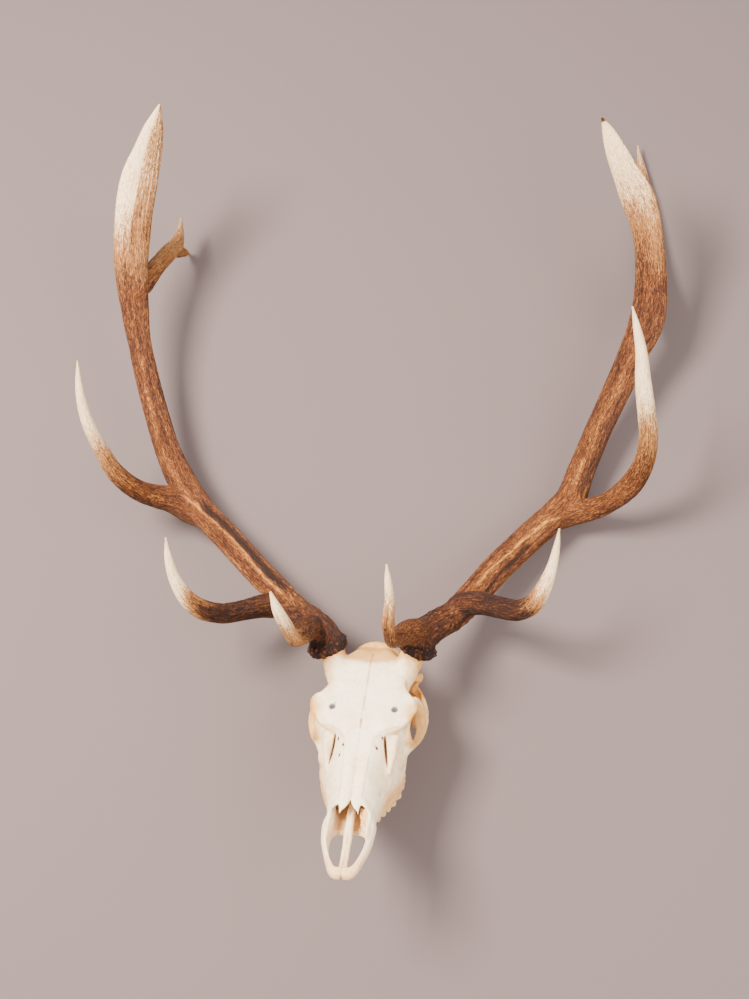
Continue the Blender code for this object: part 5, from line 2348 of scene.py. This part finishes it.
    def _in_skull(self, points: np.ndarray) -> np.ndarray:
        """Return points of the head frame in the skull frame, in millimetres."""
        turn = np.array(skull_matrix().inverted() @ head_matrix())
        return (points @ turn[:3, :3].T + turn[:3, 3]) / MM

    def _seat(self, antler: Antler) -> Mesh:
        """Return the block that cuts a bone stump off flat under a burr."""
        relief = self.relief
        middle, axis = antler.foot()
        first = np.array(Vector(axis).orthogonal().normalized())
        second = np.cross(axis, first)
        angles = np.linspace(0.0, 2.0 * math.pi, 48, endpoint=False)
        ring = (first * np.cos(angles)[:, None] + second * np.sin(angles)[:, None]) * relief.seat_radius
        foot = middle - axis * relief.socket_gap
        shell = Shell.of_rings(np.array([foot + ring, foot + ring + axis * relief.seat_depth]))
        return Shell(self._in_skull(shell.points), shell.faces).facing_out().to_mesh("seat")

    def _brow_room(self, antler: Antler) -> Mesh:
        """Return a brow tine grown a little, which keeps the bone below clear of it."""
        limb, route = antler.named("brow_tine")
        knots = route.knots.copy()
        knots[:, 3:] += self.relief.brow_gap
        shell = Route(knots, limb.across).tube(0.008, 24, 0.006)
        return Shell(self._in_skull(shell.points), shell.faces).facing_out().to_mesh("brow_room")


@dataclass(frozen=True)
class ToothSize:
    """Place, size and turn of a cheek tooth, in millimetres and degrees."""

    out: float
    along: float
    rise: float
    length: float
    width: float
    turn: float
    lobes: int


@dataclass(frozen=True)
class ToothShape:
    """Heights and outline of a cheek tooth, in millimetres."""

    root: float = 24.0
    relief: float = 1.3
    # How far a socket's block reaches below the biting surface, so that the socket is open there
    open_below: float = 6.0
    squareness: float = 0.7
    fold: float = 0.11
    sides: int = 48
    # Height, share of the outline and share of the relief, from the root to the middle of the basin
    levels: tuple[Triple, ...] = (
        (24.0, 0.80, 0.0),
        (17.0, 0.90, 0.0),
        (15.0, 0.955, 0.0),
        (10.0, 0.985, 0.0),
        (6.0, 0.99, 0.2),
        (4.0, 0.96, 0.7),
        (2.6, 0.90, 1.0),
        (2.7, 0.82, 1.0),
        (4.2, 0.70, 0.6),
        (5.5, 0.58, 0.2),
        (6.3, 0.48, 0.0),
        (5.0, 0.36, 0.0),
        (4.4, 0.22, 0.0),
        (5.9, 0.10, 0.0),
        (6.2, 0.04, 0.0),
    )


class ToothRows:
    """The two rows of upper cheek teeth."""

    SIZES = (
        ToothSize(34.5, 141, 5, 15, 13, 17, 1),
        ToothSize(39.5, 157, 3, 15, 16, 16, 1),
        ToothSize(44.0, 173, 0, 15, 18, 16, 1),
        ToothSize(49.5, 192, -4, 21, 20, 14, 2),
        ToothSize(54.5, 215, -7, 23, 21, 9, 2),
        ToothSize(57.0, 240, -8, 24, 20, 5, 2),
    )

    def __init__(self, shape: ToothShape, gap: float) -> None:
        """Set the rows out.

        Args:
            shape: The outline and heights of a tooth.
            gap: The clearance round a tooth in its socket, in millimetres.
        """
        self.shape = shape
        self.gap = gap
        angles = 2.0 * math.pi * (np.arange(shape.sides) + 0.5) / shape.sides
        self.waves = np.cos(angles), np.sin(angles)

    def build(self, material: Material, dresser: Dresser) -> None:
        """Make every tooth and put it in the scene.

        Args:
            material: The enamel's finish.
            dresser: Puts the pieces in the scene.
        """
        place = np.array(skull_matrix())
        for side in Side:
            for number, size in enumerate(self.SIZES, 1):
                name = "tooth_%s_%d" % (side.word, number)
                sculpt = Sculpt(self._tooth(size, side).facing_out().to_mesh(name))
                local = sculpt.points
                above_bite = local[:, 2] - size.rise
                low = ease(sculpt.hollowness(14), 0.15, 1.1)
                sculpt.paint("place", local * MM)
                sculpt.paint("hollow", np.clip(low + 0.6 * ease(above_bite, 8.0, 16.0), 0.0, 1.0))
                sculpt.points = local * MM @ place[:3, :3].T + place[:3, 3]
                dresser.add(name + "_enamel", sculpt, material, [name], "tooth_enamel")

    def sockets(self) -> Mesh:
        """Return the blocks that cut the sockets, in millimetres in the skull frame."""
        shells = [self._block(size, side).facing_out() for side in Side for size in self.SIZES]
        return Shell.joined(shells).to_mesh("sockets")

    @staticmethod
    def _placed(
        size: ToothSize,
        side: Side,
        x: np.ndarray,
        y: np.ndarray,
        z: np.ndarray,
    ) -> np.ndarray:
        """Return a tooth's own points turned and moved to its place in the row.

        Args:
            size: The tooth's place and turn.
            side: The side of the animal.
            x: How far out each point lies.
            y: How far along the row.
            z: How far up.

        Returns:
            Points in the skull frame.
        """
        lean = math.radians(size.turn)
        across = x * math.cos(lean) + y * math.sin(lean)
        ahead = y * math.cos(lean) - x * math.sin(lean)
        return np.stack([(size.out + across) * side.value, size.along + ahead, z + size.rise], axis=1)

    def _outline(self, size: ToothSize, scale: float, grow: float) -> tuple[np.ndarray, np.ndarray]:
        """Return the squared outline of a tooth.

        Args:
            size: The tooth's size.
            scale: The share of its size.
            grow: How far the outline is moved outward.

        Returns:
            How far out and how far along the row each point lies.
        """
        wave_x, wave_y = self.waves
        power = self.shape.squareness
        x = np.sign(wave_x) * (size.width / 2.0 * scale * np.abs(wave_x) ** power + grow)
        y = np.sign(wave_y) * (size.length / 2.0 * scale * np.abs(wave_y) ** power + grow)
        return x, y

    def _tooth(self, size: ToothSize, side: Side) -> Shell:
        """Return a tooth with its root, its folded sides, two ridges of cusps and the basin between them."""
        shape = self.shape
        wave_x, wave_y = self.waves
        peaks = np.cos(2.0 * np.arctan2(wave_y, wave_x) * size.lobes) * np.abs(wave_x) ** 0.5
        rings = []
        for height, scale, share in shape.levels:
            x, y = self._outline(size, scale, 0.0)
            fold = 0.5 - 0.5 * np.cos(2.0 * math.pi * y / size.length * size.lobes)
            x = x * (1.0 - shape.fold * fold * (size.lobes - 0.4))
            z = height - shape.relief * share * peaks
            rings.append(self._placed(size, side, x, y, z))
        return Shell.of_rings(np.array(rings))

    def _block(self, size: ToothSize, side: Side) -> Shell:
        """Return the block that cuts a tooth's socket."""
        x, y = self._outline(size, 1.0, self.gap)
        heights = (self.shape.root + self.gap, -self.shape.open_below)
        rings = [self._placed(size, side, x, y, np.full(len(x), height)) for height in heights]
        return Shell.of_rings(np.array(rings))


@dataclass(frozen=True)
class Lamp:
    """A soft square light; its place is in the head frame, so that it keeps to the photograph's view."""

    name: str
    place: Triple
    width: float
    power: float
    colour: Triple = (1.0, 0.97, 0.93)


@dataclass(frozen=True)
class StudioSizes:
    """The floor and the lights."""

    floor_width: float = 14.0
    sky: Triple = (1.0, 0.96, 0.95)
    sky_strength: float = 1.45
    aim: Triple = (0.0, 0.2, 0.2)
    lamps: tuple[Lamp, ...] = (
        Lamp("key_light", (-1.8, -2.2, 1.8), 1.1, 500.0, (1.0, 0.93, 0.84)),
        Lamp("fill_light", (2.0, -2.0, 0.4), 2.2, 110.0, (1.0, 0.95, 0.90)),
    )


class Studio:
    """The pale floor, the soft light and the camera."""

    def __init__(self, sizes: StudioSizes, floor: FloorFinish) -> None:
        """Set the studio out.

        Args:
            sizes: The floor's width and the lights.
            floor: The floor's finish.
        """
        self.sizes = sizes
        self.floor = floor

    def build(self) -> None:
        """Add the floor, the lights and the camera to the scene."""
        self._add_floor()
        self._add_sky()
        for lamp in self.sizes.lamps:
            self._add_lamp(lamp)
        self._add_camera()

    def _add_floor(self) -> None:
        """Add the floor that the object lies on."""
        half = self.sizes.floor_width / 2.0
        corners = [(-half, -half, 0), (half, -half, 0), (half, half, 0), (-half, half, 0)]
        mesh = bpy.data.meshes.new("floor")
        mesh.from_pydata(corners, [], [(0, 1, 2, 3)])
        floor = bpy.data.objects.new("floor", mesh)
        bpy.context.scene.collection.objects.link(floor)
        mesh.materials.append(self.floor.build())
        floor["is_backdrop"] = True

    def _add_sky(self) -> None:
        """Add an even light from all round."""
        world = bpy.data.worlds.new("studio_sky")
        bpy.context.scene.world = world
        world.use_nodes = True
        background = world.node_tree.nodes["Background"]
        background.inputs["Color"].default_value = (*self.sizes.sky, 1.0)
        background.inputs["Strength"].default_value = self.sizes.sky_strength

    def _add_lamp(self, lamp: Lamp) -> None:
        """Add one soft light."""
        data = bpy.data.lights.new(lamp.name, "AREA")
        data.shape = "SQUARE"
        data.size = lamp.width
        data.energy = lamp.power
        data.color = lamp.colour
        light = bpy.data.objects.new(lamp.name, data)
        bpy.context.scene.collection.objects.link(light)
        place = head_matrix() @ Vector(lamp.place)
        away = place - head_matrix() @ Vector(self.sizes.aim)
        light.matrix_world = Matrix.Translation(place) @ away.to_track_quat("Z", "Y").to_matrix().to_4x4()

    @staticmethod
    def _add_camera() -> None:
        """Add the camera at the photograph's angle to the face."""
        data = bpy.data.cameras.new("photo_camera")
        data.lens = CAMERA_LENS
        data.sensor_width = CAMERA_SENSOR
        data.sensor_fit = "AUTO"
        camera = bpy.data.objects.new("photo_camera", data)
        bpy.context.scene.collection.objects.link(camera)
        level = Matrix.Rotation(math.radians(90.0) - CAMERA_DIP, 4, "X")
        camera.matrix_world = head_matrix() @ Matrix.Translation(CAMERA_PLACE) @ level
        bpy.context.scene.camera = camera


def bounds_as_lists(bounds: Iterable[Iterable[float]]) -> list[list[float]]:
    """Return a box as plain lists of numbers."""
    return [[float(value) for value in corner] for corner in bounds]


def main() -> None:
    """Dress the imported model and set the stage."""
    logging.basicConfig(level=logging.INFO, format="%(name)s %(message)s")
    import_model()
    solid_box = bounds_as_lists(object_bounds())
    dresser = Dresser(solid_box)
    antlers = [Antler(side, AntlerRelief()) for side in Side]
    antler_material = AntlerFinish().build()
    for antler in antlers:
        antler.build(antler_material, dresser)
    relief = BoneRelief()
    teeth = ToothRows(ToothShape(), relief.socket_gap / MM)
    Skull(SkullForms(), BoneMarks(), relief).build(BoneFinish().build(), dresser, teeth, antlers)
    teeth.build(EnamelFinish().build(), dresser)
    Studio(StudioSizes(), FloorFinish()).build()


if __name__ == "__main__":
    main()
